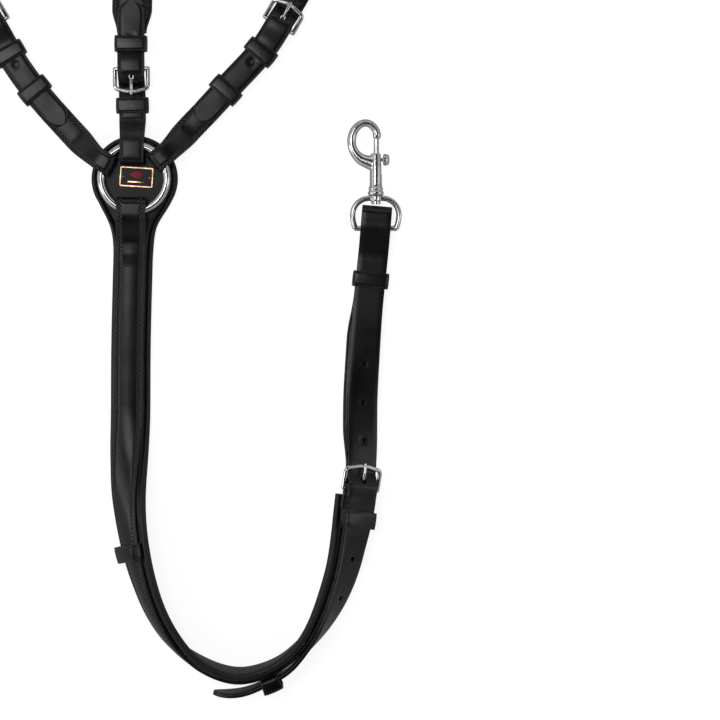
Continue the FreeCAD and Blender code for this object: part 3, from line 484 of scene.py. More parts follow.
# Hide grain: fine pores between flat cells, with a slow cloudiness from the hide and the wax.
hide_tree, shader = group("hide_grain", [("Cells per metre", "f", 900.0), ("Cloud size", "f", 25.0)],
                          [("Height", "f"), ("Cloud", "f")])
given = shader.add("NodeGroupInput")
where = shader.add("ShaderNodeTexCoord").outputs["Object"]
cells = shader.add("ShaderNodeTexVoronoi", {"Vector": where, "Scale": given.outputs[0]},
                   feature="DISTANCE_TO_EDGE").outputs["Distance"]
pores = shader.add("ShaderNodeTexNoise", {"Vector": where, "Scale": given.outputs[0],
                                          "Detail": 3.0}).outputs["Fac"]
cloud = shader.add("ShaderNodeTexNoise", {"Vector": where, "Scale": given.outputs[1], "Detail": 4.0,
                                          "Roughness": 0.6}).outputs["Fac"]
height = shader.math("ADD", shader.remap(cells, 0.0, 0.25, 0.0, 0.6), shader.math("MULTIPLY", pores, 0.7))
shader.add("NodeGroupOutput", {"Height": height, "Cloud": cloud})

# Rubbed edges and painted highlights: dye worn and burnished where the wear mark is high, broken up along the
# edge; the lighter grey is partly real rubbing and partly painted highlight on the edges and crease
# shoulders.
edge_wear_highlight_tree, shader = group("edge_wear_and_highlight", [("Wear and highlight", "f", 0.0), ("Amount", "f", 0.6)], [("Mask", "f")])
given = shader.add("NodeGroupInput")
where = shader.add("ShaderNodeTexCoord").outputs["Object"]
patches = shader.add("ShaderNodeTexNoise", {"Vector": where, "Scale": 160.0, "Detail": 5.0,
                                            "Roughness": 0.7}).outputs["Fac"]
broken = shader.remap(patches, 0.38, 0.7)
mask = shader.math("MULTIPLY", shader.math("POWER", given.outputs[0], 1.6), given.outputs[1])
shader.add("NodeGroupOutput", {"Mask": shader.math("MULTIPLY", mask, broken, clamp=True)})

# Awl pricks: dark slanting slits at the ends of each stitch, a row at each side of the strap; the slits are
# painted shade for the holes, and the puckered leather between them gets a painted highlight.
prick_shade_highlight_tree, shader = group("awl_prick_shade_and_highlight", [("Row", "f", 0.008), ("Middle", "f", 0.0), ("Pitch", "f", 0.0035)],
                           [("Slit and shade", "f"), ("Pucker and highlight", "f")])
given = shader.add("NodeGroupInput")
split = shader.add("ShaderNodeSeparateXYZ", {0: shader.add("ShaderNodeTexCoord").outputs["UV"]})
off_middle = shader.math("ABSOLUTE", shader.math("SUBTRACT", split.outputs[1], given.outputs[1]))
aside = shader.math("SUBTRACT", off_middle, given.outputs[0])
slanted = shader.math("ADD", split.outputs[0], shader.math("MULTIPLY", aside, 1.3))
turns = shader.math("FRACT", shader.math("DIVIDE", slanted, given.outputs[2]))
phase = shader.math("ABSOLUTE", shader.math("SUBTRACT", turns, 0.5))
along_slit = shader.math("MULTIPLY", phase, 4.0)
across_slit = shader.math("MULTIPLY", shader.math("ABSOLUTE", aside), 850.0)
across_square = shader.math("MULTIPLY", across_slit, across_slit)
reach = shader.math("ADD", shader.math("MULTIPLY", along_slit, along_slit), across_square)
slit_and_shade = shader.remap(reach, 0.6, 1.2, 1.0, 0.0)
pucker_and_highlight = shader.math("MULTIPLY", shader.remap(phase, 0.28, 0.42),
                     shader.remap(across_square, 0.3, 2.2, 1.0, 0.0))
shader.add("NodeGroupOutput", {"Slit and shade": slit_and_shade, "Pucker and highlight": pucker_and_highlight})


def leather(name, dye, gloss, grain=900.0, grain_depth=0.25, wear_and_highlight_amount=0.5, pricks=None):
    """Waxed black leather; gloss is its roughness, pricks (row, middle, pitch) in metres."""
    material, shader = new_material(name)
    hide = shader.add("ShaderNodeGroup", node_tree=hide_tree)
    hide.inputs["Cells per metre"].default_value = grain
    rub_and_highlight = shader.add("ShaderNodeGroup", node_tree=edge_wear_highlight_tree)
    wear_and_highlight = shader.add("ShaderNodeAttribute", attribute_name="wear_and_highlight").outputs["Fac"]
    shader.tree.links.new(wear_and_highlight, rub_and_highlight.inputs["Wear and highlight"])
    rub_and_highlight.inputs["Amount"].default_value = wear_and_highlight_amount
    deep = tuple(c * 0.55 for c in dye) + (1,)
    lit = tuple(c * 1.45 for c in dye) + (1,)
    # lighter grey for the wear mark: partly real rubbing, partly painted highlight on edges and crease
    # shoulders
    rubbed_and_highlight_grey = tuple(0.075 + c for c in dye) + (1,)
    colour = shader.blend(shader.remap(hide.outputs["Cloud"], 0.3, 0.7), deep, lit)
    colour = shader.blend(rub_and_highlight.outputs["Mask"], colour, rubbed_and_highlight_grey)
    rough = shader.remap(hide.outputs["Cloud"], 0.3, 0.7, gloss - 0.06, gloss + 0.07)
    rough = shader.math("SUBTRACT", rough, shader.math("MULTIPLY", rub_and_highlight.outputs["Mask"], 0.08))
    height = shader.math("MULTIPLY", hide.outputs["Height"], grain_depth)
    if pricks:
        prick_shade_and_highlight = shader.add("ShaderNodeGroup", node_tree=prick_shade_highlight_tree)
        for key, value in zip(("Row", "Middle", "Pitch"), pricks):
            prick_shade_and_highlight.inputs[key].default_value = value
        # painted shade in the awl slits, then painted highlight on the puckers between them
        colour = shader.blend(prick_shade_and_highlight.outputs["Slit and shade"], colour, (0.0005, 0.0005, 0.0005, 1))
        colour = shader.blend(prick_shade_and_highlight.outputs["Pucker and highlight"], colour, (0.075, 0.075, 0.077, 1))
        rough = shader.math("ADD", rough, shader.math("MULTIPLY", prick_shade_and_highlight.outputs["Slit and shade"], 0.6), clamp=True)
        height = shader.math("SUBTRACT", height, shader.math("MULTIPLY", prick_shade_and_highlight.outputs["Slit and shade"], 3.0))
        height = shader.math("ADD", height, shader.math("MULTIPLY", prick_shade_and_highlight.outputs["Pucker and highlight"], 1.5))
    bump = shader.add("ShaderNodeBump", {"Height": height, "Strength": 0.35, "Distance": 0.0003})
    surface(shader, {"Base Color": colour, "Roughness": rough, "Normal": bump.outputs[0],
                     "Specular IOR Level": 0.42, "Coat Weight": 0.1, "Coat Roughness": 0.2})
    return material


black_dye = (0.006, 0.006, 0.0062)
bridle = leather("bridle_leather", black_dye, 0.31)
# keepers carry a stronger wear mark, partly rubbing and partly painted highlight lines along their edges
keeper_leather = leather("keeper_leather", black_dye, 0.25, wear_and_highlight_amount=0.8)
pad_leather = leather("pad_leather", (0.007, 0.007, 0.0072), 0.46, grain=620.0, grain_depth=0.7, wear_and_highlight_amount=0.15)

thread, shader = new_material("black_thread")
twist = shader.add("ShaderNodeTexWave", {"Vector": shader.add("ShaderNodeTexCoord").outputs["Object"],
                                         "Scale": 900.0, "Distortion": 1.5}, bands_direction="DIAGONAL")
bump = shader.add("ShaderNodeBump", {"Height": twist.outputs["Fac"], "Strength": 0.4, "Distance": 0.0002})
strands = shader.blend(twist.outputs["Fac"], (0.008, 0.008, 0.009, 1), (0.035, 0.035, 0.037, 1))
surface(shader, {"Base Color": strands, "Roughness": 0.5, "Normal": bump.outputs[0], "Sheen Weight": 0.15})


thread_facets = 7


def along_seam(start, end, pitch):
    """Places of the stitches of a seam, in order."""
    seam = []
    s = start
    while s < end:
        seam.append(s)
        s += pitch
    return seam


def stitches(name, body, spots, length=2.7, radius=0.42, slant=24.0):
    """Row of waxed stitches: each a short bead of thread that dives into the leather at its ends."""
    bm = bmesh.new()
    for spot, side in spots:
        lean = Matrix.Rotation(math.radians(slant * side), 4, "Z")
        rings = []
        for i in range(5):
            t = -1.0 + 2.0 * i / 4
            r = radius * math.sqrt(max(0.08, 1.0 - 0.8 * t * t))
            drop = -0.42 * t * t
            ring = []
            for k in range(thread_facets):
                a = 2.0 * math.pi * k / thread_facets
                bead = Vector((length / 2.0 * t, r * math.cos(a), drop + r * math.sin(a))) * mm
                ring.append(bm.verts.new(spot @ lean @ bead))
            rings.append(ring)
        join_rings(bm, rings)
    put_on(finish_mesh(name, bm), body, "strap_leather", thread)


# ---- metal: what the ring, buckles, dees and snap are made of -----------------------------------
# Polished stainless steel and nickel-plated castings, with fine wiping scratches and dull clouds.
def metal(name, colour, gloss, scratches=0.25):
    material, shader = new_material(name)
    where = shader.add("ShaderNodeTexCoord").outputs["Object"]
    stretch = shader.add("ShaderNodeMapping", {"Vector": where, "Scale": (900.0, 220.0, 900.0),
                                               "Rotation": (0.2, 0.3, 0.6)}).outputs[0]
    lines = shader.add("ShaderNodeTexNoise", {"Vector": stretch, "Scale": 1.0, "Detail": 5.0}).outputs["Fac"]
    clouds = shader.add("ShaderNodeTexNoise", {"Vector": where, "Scale": 140.0, "Detail": 3.0}).outputs["Fac"]
    rough = shader.math("ADD", shader.remap(clouds, 0.3, 0.75, gloss * 0.7, gloss * 1.5),
                        shader.remap(lines, 0.55, 0.8, 0.0, 0.12))
    dull = tuple(c * 0.82 for c in colour) + (1,)
    shade = shader.blend(shader.remap(clouds, 0.35, 0.7), tuple(colour) + (1,), dull)
    bump = shader.add("ShaderNodeBump", {"Height": lines, "Strength": scratches, "Distance": 0.00004})
    surface(shader, {"Base Color": shade, "Metallic": 1.0, "Roughness": rough, "Normal": bump.outputs[0]})
    return material


steel = metal("polished_steel", (0.78, 0.78, 0.79), 0.13)
cast_nickel = metal("cast_nickel", (0.80, 0.79, 0.78), 0.19, 0.4)
spring_wire = metal("spring_wire", (0.55, 0.55, 0.56), 0.3)


def finish_node(node, material):
    """A CAD node keeps its shape and gets its finish."""
    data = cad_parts[node].data
    data.materials.clear()
    data.materials.append(material)


# ---- chest pad ----------------------------------------------------------------------------------
# Soft backing of foam in thin leather, with a rolled edge all round. Its round head lies under the
# ring, and its tail runs down the girth strap and round the U.
pad_thick = 6.5
pad_width = 33.0
head_radius = 36.0
rim_width = 4.4
bundle_points = [
    (0.0, 0.0, 0), (-1.3, -64.0, 0), (-3.2, -150.0, 0), (-3.4, -205.0, 3), (-3.1, -240.0, 20),
    (-1.1, -267.0, 38), (1.9, -288.0, 48), (6.3, -310.0, 55), (12.9, -333.0, 62), (23.9, -360.0, 69),
    (42.8, -386.0, 81), (55.0, -396.0, 90), (70.0, -403.8, 95), (87.4, -407.6, 97),
    (104.8, -404.2, 95), (121.6, -395.8, 92), (138.4, -379.5, 86), (150.8, -361.5, 73),
    (160.2, -343.0, 61), (169.5, -317.0, 50), (175.6, -291.0, 38), (181.2, -262.0, 27),
    (184.3, -236.0, 20), (185.8, -211.0, 14), (186.7, -184.0, 9), (188.4, -157.0, 5),
    (192.4, -105.0, 0), (196.6, -64.0, 0), (199.7, -28.0, 0),
]
bundle = Course(bundle_points, pad_width / 2.0, pad_thick)
end_of_u = bundle.length
heel = bundle.at_height(-257.0, end_of_u - 330.0, end_of_u - 60.0)
bundle.stiff = (heel - 6.0, heel + 22.0, 30.0)
pad_end = heel - 6.0
left_neck = through([16.0, 24.0, 37.5, 52.0, 66.0], [32.2, 28.2, 21.5, 18.2, 17.8])
right_neck = through([16.0, 26.0, 37.5, 52.0, 66.0], [32.2, 26.4, 19.5, 16.2, 15.2])


def pad_side(s, neck, sign):
    """Outer edge of the pad at s, across the bundle: head circle, then neck, then tail."""
    circle = math.sqrt(max(0.0, head_radius ** 2 - s * s))
    if s < 16.0:
        return circle
    if s < 66.0:
        lie = neck(s) - sign * bundle.x(s)
        return circle + (lie - circle) * smooth_step(s, 16.0, 20.0)
    return pad_width / 2.0


def pad_height(edge, s, inner):
    """Height of the pad's face a distance in from its edge: a rolled rim, its seam, then the face."""
    if edge < rim_width:
        t = (edge - 2.2) / 2.2
        h = 3.3 + 3.1 * math.sqrt(max(0.0, 1.0 - t * t)) ** (0.8 if t > 0 else 1.0)
        h = h if t < 0 else max(h, 5.5 - 0.9 * smooth_step(edge, 3.4, rim_width))
    else:
        h = 4.6 + (pad_thick - 4.6) * smooth_step(edge, rim_width, 6.8)
    h -= 0.5 * math.exp(-((s - 36.0) / 0.8) ** 2) * (1.0 if edge > 1.5 else 0.3)
    wrinkled = smooth_step(s, 395.0, 430.0) * (1.0 - smooth_step(s, 545.0, 590.0))
    if inner and edge < rim_width:
        h += 0.16 * wrinkled * math.sin(s * 2.1 + 2.0 * noise.noise(Vector((s * 0.2, edge, 0))))
    return h


def rim_distance(s, w, inward):
    """How far a place on the pad is from its rim, given how far it is in from the side."""
    if s > 0:
        return inward
    return head_radius - math.hypot(s, w) if abs(s) < head_radius else 0.0


columns = [0.0, 0.12, 0.45, 1.0, 1.7, 2.4, 3.2, 3.9, 4.4, 4.9, 5.6, 6.8]
rows = [-head_radius * math.cos(math.radians(a)) for a in steps_between(0.6, 90.0, 3.0)]
rows += steps_between(1.2, 34.0, 1.4) + [35.0, 35.5, 36.0, 36.5, 37.0] + steps_between(38.2, 390.0, 1.8)
rows += steps_between(391.5, 592.0, 0.8) + steps_between(593.5, pad_end, 1.6)
sections, marks = [], []
for s in rows:
    low, high = -pad_side(s, right_neck, 1.0), pad_side(s, left_neck, -1.0)
    squeeze = min(1.0, (high - low) / 16.0)
    outline = []
    for sign, side in ((1.0, low), (-1.0, high)):
        line = [(side + sign * e * squeeze, rim_distance(s, side + sign * e * squeeze, e * squeeze))
                for e in columns]
        under = [(side + sign * e * squeeze, 3.3 * (1.0 - math.sqrt(max(0.0, 1.0 - (1.0 - e / 3.3) ** 2))))
                 for e in (3.3, 1.9, 0.9, 0.25)]
        # the rim's wear mark lightens the roll, partly rubbing and partly painted highlight
        face = [(w, pad_height(max(0.0, d), s, sign > 0), 0.5 if d < 2.5 else 0.0) for w, d in line]
        face += [(side + sign * (8.0 + 4.0 * i) * squeeze, pad_thick, 0.0) for i in range(2)]
        below = [(w, h, 0.0) for w, h in under]
        part = below + face
        outline += part if sign > 0 else list(reversed(part))
    sections.append([bundle.point(s, h, w) for w, h, _ in outline])
    marks.append([(w, wear_and_highlight) for w, _, wear_and_highlight in outline])
pad = skin("pad_body", sections, marks, rows)
put_on(pad, "chest", "pad_leather", pad_leather, "chest_pad")

# ---- chest strap --------------------------------------------------------------------------------
# Turned round the ring at the top and round the girth buckle's heel bar at the end, and stitched
# along both sides to its pad, so that its middle swells between the two rows.
chest_width = 24.5
chest_thick = 3.4
chest_shift = 1.8
sewn, free, running = 0.15, 0.3, 0.05
skived, feather = 2.2, 1.2
ring_wire = 6.5
ring_radius = 27.25
wire_r = ring_wire / 2.0
strap_level = pad_thick + sewn
chest_low, chest_high = chest_shift - chest_width / 2.0, chest_shift + chest_width / 2.0
ring_height = strap_level + chest_thick + free + wire_r
fold_room = wire_r + free
reach = math.sqrt(ring_radius ** 2 - chest_high ** 2) - 0.45 - free
low_level = strap_level + chest_thick / 2.0
top_level = ring_height + fold_room + chest_thick / 2.0
buckle_wire = 3.4
prong_slot = 4.4
bar_r = buckle_wire / 2.0
heel_height = strap_level + skived + running + 0.05 + bar_r
bar_turn = bar_r + running + 0.05 + skived / 2.0
chest_row = 3.6
chest_pitch = 3.5
thread_sink = 0.3
chest_keeper_s = bundle.at_height(-308.5, 200.0, 400.0)


def over_return(s):
    back = feather * (1.0 - smooth_step(s, 60.5, 72.0))
    back += max(0.0, (chest_thick - feather) * (60.0 - s) / 24.0) + sewn * (s < 72.0)
    lying = low_level + back
    return lying + (top_level - lying) * (1.0 - smooth_step(s, ring_radius + 2.0, 54.0))


def chest_level(s):
    """Level of the stitched stretch, from the ring to the rise over the buckle's bar."""
    if s < 84.0:
        return over_return(s)
    rise = smooth_step(s, heel - 46.0, heel - 34.0) * (feather + sewn)
    rise += smooth_step(s, heel - 34.0, heel - 12.0) * (skived - feather)
    lying = strap_level + rise + chest_strap_thick(s) / 2.0
    return lying + (heel_height + bar_turn - lying) * smooth_step(s, heel - 14.0, heel)


def chest_strap_thick(s):
    return chest_thick + (skived - chest_thick) * smooth_step(s, heel - 30.0, heel - 4.0)


def chest_crown(s):
    return 1.0 * smooth_step(s, 44.0, 70.0) * (1.0 - 0.8 * smooth_step(s, 380.0, 460.0))


places = []
for s in steps_between(60.0, reach + 3.0):
    thick = min(chest_thick, feather + (chest_thick - feather) * (60.0 - s) / 24.0)
    places.append((s, strap_level + thick / 2.0, thick, chest_low, chest_high, 0.0))
places += [(s, h, chest_thick, chest_low, chest_high, 0.0)
           for s, h in turn(reach, ring_height, fold_room + chest_thick / 2.0, -90, -270)]
places += [(s, chest_level(s), chest_strap_thick(s), chest_low, chest_high, chest_crown(s))
           for s in steps_between(reach + 2.0, heel - 0.4)]
places += [(s, h, skived, chest_low, chest_high, 0.0) for s, h in turn(heel, heel_height, bar_turn, 90, -90)]
for s in steps_between(heel - 2.0, heel - 34.0):
    thick = feather + (skived - feather) * smooth_step(s, heel - 34.0, heel - 12.0)
    places.append((s, strap_level + thick / 2.0, thick, chest_low, chest_high, 0.0))
stitched = leather("stitched_leather", black_dye, 0.31,
                   pricks=((chest_width / 2.0 - chest_row) * mm, chest_shift * mm, chest_pitch * mm))
chest = strap("chest_strap_leather", bundle, places, row=chest_row, crease=1.5)


def cut_away(piece, *tools):
    """Cuts tools out of a piece, and does away with them."""
    for tool in tools:
        cut = piece.modifiers.new("cut", "BOOLEAN")
        cut.operation = "DIFFERENCE"
        cut.solver = "FAST"
        cut.object = tool
    settle(piece)
    for tool in tools:
        bpy.data.objects.remove(tool)


def cut_slot(piece, spot):
    """Slot in the fold for the prong's eye."""
    long, deep = 14.0, 30.0
    bm = bmesh.new()
    bmesh.ops.create_cube(bm, size=1.0, matrix=spot @ Matrix.Translation(Vector((2.0, 0, 11.5)) * mm)
                          @ Matrix.Diagonal((long * mm, prong_slot * mm, deep * mm, 1.0)))
    cut_away(piece, finish_mesh("cutter", bm))


cut_slot(chest, bundle.spot(heel, heel_height, chest_shift))
put_on(chest, "chest", "strap_leather", stitched, "chest_strap")

spots = []
girth_keeper_s = heel - 24.0
for s in along_seam(40.0, heel - 8.0, chest_pitch):
    under_keeper = abs(s - girth_keeper_s) < 7.0
    if not under_keeper:
        for side in (-1, 1):
            w = chest_shift + side * (chest_width / 2.0 - chest_row)
            h = chest_level(s) + chest_strap_thick(s) / 2.0 - thread_sink
            spots.append((bundle.spot(s, h, w), side))
stitches("chest_stitches", "chest", spots)

# ---- keepers ------------------------------------------------------------------------------------
# Loops of thin leather that hold a strap's end down. A footed keeper is sewn down at both sides; a
# loose one is a closed loop that slides.
keeper_wall = 1.8
keeper_width = 13.0


def keeper(name, body, node, course, middle, low, high, bottom, top, footed=False, bulge=0.3):
    """Strip of leather bent round (w, h) corners; bottom and top are its inner faces."""
    corner = 0.9
    stations = []

    def arc(w, h, start, end):
        for i in range(7):
            a = math.radians(start + (end - start) * i / 6)
            stations.append((w + corner * math.cos(a), h + corner * math.sin(a), math.cos(a), math.sin(a)))

    def straight(w0, h0, w1, h1, nw, nh, count):
        for i in range(1, count):
            t = i / count
            swell = bulge * 4.0 * t * (1.0 - t)
            stations.append((w0 + (w1 - w0) * t + nw * swell, h0 + (h1 - h0) * t + nh * swell, nw, nh))

    foot = bottom + 0.02
    if footed:
        stations.append((low, foot, -1.0, 0.0))
        straight(low, foot, low, top - corner, -1.0, 0.0, 4)
    else:
        arc(low + corner, bottom + corner, 270, 180)
        straight(low, bottom + corner, low, top - corner, -1.0, 0.0, 5)
    arc(low + corner, top - corner, 180, 90)
    straight(low + corner, top, high - corner, top, 0.0, 1.0, 14)
    arc(high - corner, top - corner, 90, 0)
    if footed:
        straight(high, top - corner, high, foot, 1.0, 0.0, 4)
        stations.append((high, foot, 1.0, 0.0))
    else:
        straight(high, top - corner, high, bottom + corner, 1.0, 0.0, 5)
        arc(high - corner, bottom + corner, 0, -90)
        for i in range(1, 12):
            stations.append((high - corner - (high - low - 2 * corner) * i / 12, bottom, 0.0, -1.0))
    half = keeper_width / 2.0
    sections, marks, lengths = [], [], [0.0]
    for i, (w, h, nw, nh) in enumerate(stations):
        outline = strap_outline(-half, half, keeper_wall, crown=0.12, crease=1.25)
        sections.append([course.point(middle + q, h + nh * (keeper_wall - d), w + nw * (keeper_wall - d))
                         for q, d, _ in outline])
        marks.append([(q, wear_and_highlight) for q, _, wear_and_highlight in outline])
        if i:
            lengths.append(lengths[-1] + math.hypot(w - stations[i - 1][0], h - stations[i - 1][1]))
    piece = skin(name, sections, marks, lengths, closed=not footed)
    put_on(piece, body, "keeper_leather", keeper_leather, node)


keeper("chest_keeper_leather", "chest", "chest_keeper", bundle, chest_keeper_s,
       chest_low - free, chest_high + free, strap_level, strap_level + chest_thick + 4.6,
       footed=True, bulge=0.9)

# ---- chest ring and badge -----------------------------------------------------------------------
# A welded round-wire ring, and a small enamelled plate riveted to the pad inside it. The enamel
# carries a plain lozenge over a bar.
finish_node("chest_ring", steel)
badge_gold = metal("rose_gold_plate", (0.80, 0.50, 0.34), 0.22)
finish_node("badge_plate", badge_gold)
finish_node("badge_rivets", badge_gold)


def enamel(name, dark, bright, specks_per_metre, finish):
    """Speckled enamel."""
    material, shader = new_material(name)
    where = shader.add("ShaderNodeTexCoord").outputs["Object"]
    specks = shader.add("ShaderNodeTexNoise", {"Vector": where, "Scale": specks_per_metre, "Detail": 3.0})
    surface(shader, {"Base Color": shader.blend(specks.outputs["Fac"], dark, bright), **finish})
    return material


black_enamel = enamel("black_enamel", (0.006, 0.006, 0.007, 1), (0.02, 0.016, 0.018, 1), 900.0,
                      {"Roughness": 0.3, "Specular IOR Level": 0.15, "Coat Weight": 0.05,
                       "Coat Roughness": 0.1})
red_enamel = enamel("red_enamel", (0.30, 0.012, 0.016, 1), (0.62, 0.04, 0.045, 1), 700.0,
                    {"Roughness": 0.4, "Specular IOR Level": 0.3})
finish_node("badge_inlay", black_enamel)
badge_low, badge_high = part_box("badge_plate")
badge_middle = (badge_low + badge_high) / 2.0
inlay_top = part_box("badge_inlay")[1].z
badge_turn = Matrix.Rotation(math.radians(-3.5), 4, "Z")


def badge_shape(name, outline, rise, material, slot="badge_enamel"):
    """Flat raised shape on the badge, with a bevelled top edge; outline in mm from its middle."""
    place = Matrix.Translation((badge_middle.x, badge_middle.y, inlay_top)) @ badge_turn
    bm = bmesh.new()
    rings = []
    for shrink, level in ((1.0, 0.0), (1.0, rise * 0.6), (0.93, rise)):
        rings.append([bm.verts.new(place @ (Vector((x * shrink, y, level)) * mm)) for x, y in outline])
    join_rings(bm, rings)
    put_on(finish_mesh(name, bm, 30.0), "chest", slot, material)


lozenge = [(5.6 * math.copysign(abs(math.cos(a)) ** 1.5, math.cos(a)),
            1.9 + 2.7 * math.copysign(abs(math.sin(a)) ** 1.5, math.sin(a)))
           for a in [2.0 * math.pi * k / 40 for k in range(40)]]
badge_shape("badge_lozenge", lozenge, 0.22, red_enamel)
bar = [(-7.0, -4.6), (7.0, -4.6), (7.0, -3.7), (-7.0, -3.7)]
badge_shape("badge_bar", bar, 0.18, badge_gold, "badge_metal")

# ---- girth strap --------------------------------------------------------------------------------
# One long strap: the rear leg is sewn in under the buckle, runs up to the snap, folds over its eye
# and comes back down as the billet, through the buckle and round the U to its loose tip.
girth_width = 25.0
girth_thick = 3.2
g_half = girth_thick / 2.0
table_gap = 0.2
keeper_room = 0.6
rear_shift = 3.2
hole_pitch = 32.0
prong_hole_x = 7.0
d_bar_y = -41.5
fold_mid = 5.6
fold_s = bundle.at_height(-22.6, end_of_u - 60.0, end_of_u + 40.0) - fold_mid - g_half
rear_low = table_gap + g_half
fold_height = rear_low + fold_mid
sewn_in = strap_level - girth_thick - 0.05
billet_level = strap_level + chest_thick + free + g_half
rear_start = pad_end + 0.4
snap_keeper_s = bundle.at_height(-84.0, end_of_u - 120.0, end_of_u)
tip_s = bundle.at_height(-406.5, 380.0, 480.0) - 6.0
keeper_tip_s = tip_s + 36.0
d_bar_s = bundle.at_height(d_bar_y, end_of_u - 60.0, end_of_u)
tip_keeper_base = strap_level + chest_thick + 2 * free + keeper_wall


def girth_shift(s):
    return chest_shift * smooth_step(s, tip_s + 60.0, heel - 60.0)


def rear_level(s):
    start = sewn_in + g_half
    on_keeper = table_gap + keeper_wall + keeper_room + g_half
    h = start + (on_keeper - start) * smooth_step(s, heel + 6.0, heel + 66.0)
    return h + (rear_low - on_keeper) * smooth_step(s, snap_keeper_s + 8.0, snap_keeper_s + 26.0)


def billet_height(s):
    x = s - heel
    over_bar = heel_height + bar_turn + skived / 2.0 + free + g_half
    under_toe = rear_level(s) + girth_thick + 0.6
    if x > 3.0:
        h = under_toe + (over_bar - under_toe) * (1.0 - smooth_step(x, 2.0, 14.5))
    else:
        h = billet_level + (over_bar - billet_level) * smooth_step(x, -52.0, -1.0)
    if x > 22.0:
        h = rear_level(s) + girth_thick + 0.6 - free
        h += (fold_height + fold_mid - h) * smooth_step(s, fold_s - 46.0, fold_s - 4.0)
    in_keeper = tip_keeper_base + free + g_half - billet_level
    h += in_keeper * (1.0 - smooth_step(s, keeper_tip_s + 8.0, keeper_tip_s + 36.0))
    return h + 8.5 * (1.0 - smooth_step(s, tip_s - 8.0, keeper_tip_s + 5.0))


def girth_place(s, h, crown=0.35, aside=0.0):
    middle = girth_shift(s) - aside
    return (s, h, girth_thick, middle - girth_width / 2.0, middle + girth_width / 2.0, crown)


def rear_aside(s):
    """The rear leg lies towards the inside of the billet from the buckle to the snap's keeper."""
    past_buckle = smooth_step(s, heel + 12.0, heel + 50.0)
    return rear_shift * past_buckle * (1.0 - smooth_step(s, snap_keeper_s - 50.0, snap_keeper_s - 12.0))


def over_d(s):
    """The billet's face swells where it bends over the D's bar."""
    return 0.9 * math.exp(-((s - d_bar_s) / 5.5) ** 2)


places = [girth_place(s, rear_level(s), aside=rear_aside(s))
          for s in steps_between(rear_start, fold_s - 1.0)]
places += [girth_place(s, h, 0.2) for s, h in turn(fold_s, fold_height, fold_mid, -90, 90)]
for s in steps_between(fold_s - 1.0, tip_s + 14.0):
    crown = 0.35 * smooth_step(s, tip_s + 14.0, tip_s + 30.0)
    places.append(girth_place(s, billet_height(s) + over_d(s), crown))
places += round_tip(billet_height, tip_s + 14.0, tip_s + 0.25, girth_width, girth_thick)
girth = strap("girth_strap_leather", bundle, places, crease=1.7)
holes = []
for k in range(-3, 4):
    s = heel + prong_hole_x + k * hole_pitch
    holes.append((bundle.sloped(s, billet_height, g_half, girth_shift(s)), girth_thick, 0.0 if k else 1.3))
girth = punch("girth_strap_body", girth, holes, 2.1)
put_on(girth, "chest", "strap_leather", bridle, "girth_strap")


def girth_keeper(node, body, middle, bottom, top, footed=False, bulge=0.3):
    shift = girth_shift(middle)
    half = girth_width / 2.0 + keeper_room
    keeper(node + "_leather", body, node, bundle, middle, shift - half, shift + half, bottom, top,
           footed, bulge)


girth_keeper("girth_keeper", "chest", girth_keeper_s, strap_level,
             billet_height(girth_keeper_s + keeper_width / 2.0) + g_half + keeper_room, True, 0.35)
girth_keeper("tip_keeper", "tip_loop", keeper_tip_s, tip_keeper_base,
             billet_height(keeper_tip_s - keeper_width / 2.0) + g_half + 4.0, bulge=0.25)
girth_keeper("snap_keeper", "snap_loop", snap_keeper_s, rear_level(snap_keeper_s) - g_half - keeper_room,
             billet_height(snap_keeper_s + keeper_width / 2.0) + g_half + keeper_room)

# ---- buckles and dees ---------------------------------------------------------------------------
# Wire frames bent and welded, each with a prong rolled round its heel bar, and plain wire dees.
for place in ("girth", "left", "right", "centre"):
    finish_node(place + "_buckle_frame", steel)
    finish_node(place + "_buckle_prong", steel)
for place in ("left", "right", "centre"):
    finish_node(place + "_end_dee", steel)

# ---- snap ---------------------------------------------------------------------------------------
# Nickel-plated swivel snap: a cast hook on a shank, a steel D that swivels under it, and a spring
# bolt drawn back by a thumb knob.
snap_x, snap_z = 200.6, 7.4


def snap_point(x, y, z=0.0):
    return Vector((snap_x + x, y, snap_z + z)) * mm


def tube(bm, points, facets=24, pitch=0.8):
    """Bar of oval section through points (x, y, radius in plan, radius in height), from the snap's axis."""
    knots = running_length(points)
    x, y, wide, tall = (through(knots, [p[i] for p in points]) for i in range(4))
    rings = []
    for t in steps_between(knots[0], knots[-1], pitch):
        heading = Vector((x(t + 0.05) - x(t - 0.05), y(t + 0.05) - y(t - 0.05), 0)).normalized()
        side = Vector((heading.y, -heading.x, 0))
        ring = []
        for k in range(facets):
            a = 2.0 * math.pi * k / facets
            out = side * (wide(t) * math.cos(a)) + Vector((0, 0, tall(t) * math.sin(a)))
            ring.append(bm.verts.new(snap_point(x(t) + out.x, y(t) + out.y, out.z)))
        rings.append(ring)
    join_rings(bm, rings)


def lathe(bm, profile, along=Vector((0, 1, 0)), start=(0.0, 0.0), facets=40):
    """Turned shape about an axis from start (x, y) beside the snap's axis: profile (distance, radius)."""
    up = Vector((0, 0, 1))
    side = up.cross(along)
    angles = [2.0 * math.pi * k / facets for k in range(facets)]
    rings = []
    for far, radius in profile:
        middle = snap_point(*start) + along * far * mm
        rings.append([bm.verts.new(middle + (side * math.cos(a) + up * math.sin(a)) * radius * mm)
                      for a in angles])
    join_rings(bm, rings)


def melt(piece, voxel, passes):
    """Runs overlapping shapes together into one cast skin."""
    remesh = piece.modifiers.new("cast", "REMESH")
    remesh.mode = "VOXEL"
    remesh.voxel_size = voxel * mm
    smooth = piece.modifiers.new("polish", "SMOOTH")
    smooth.iterations = passes
    smooth.factor = 0.5
    settle(piece)
    piece.data.polygons.foreach_set("use_smooth", [True] * len(piece.data.polygons))


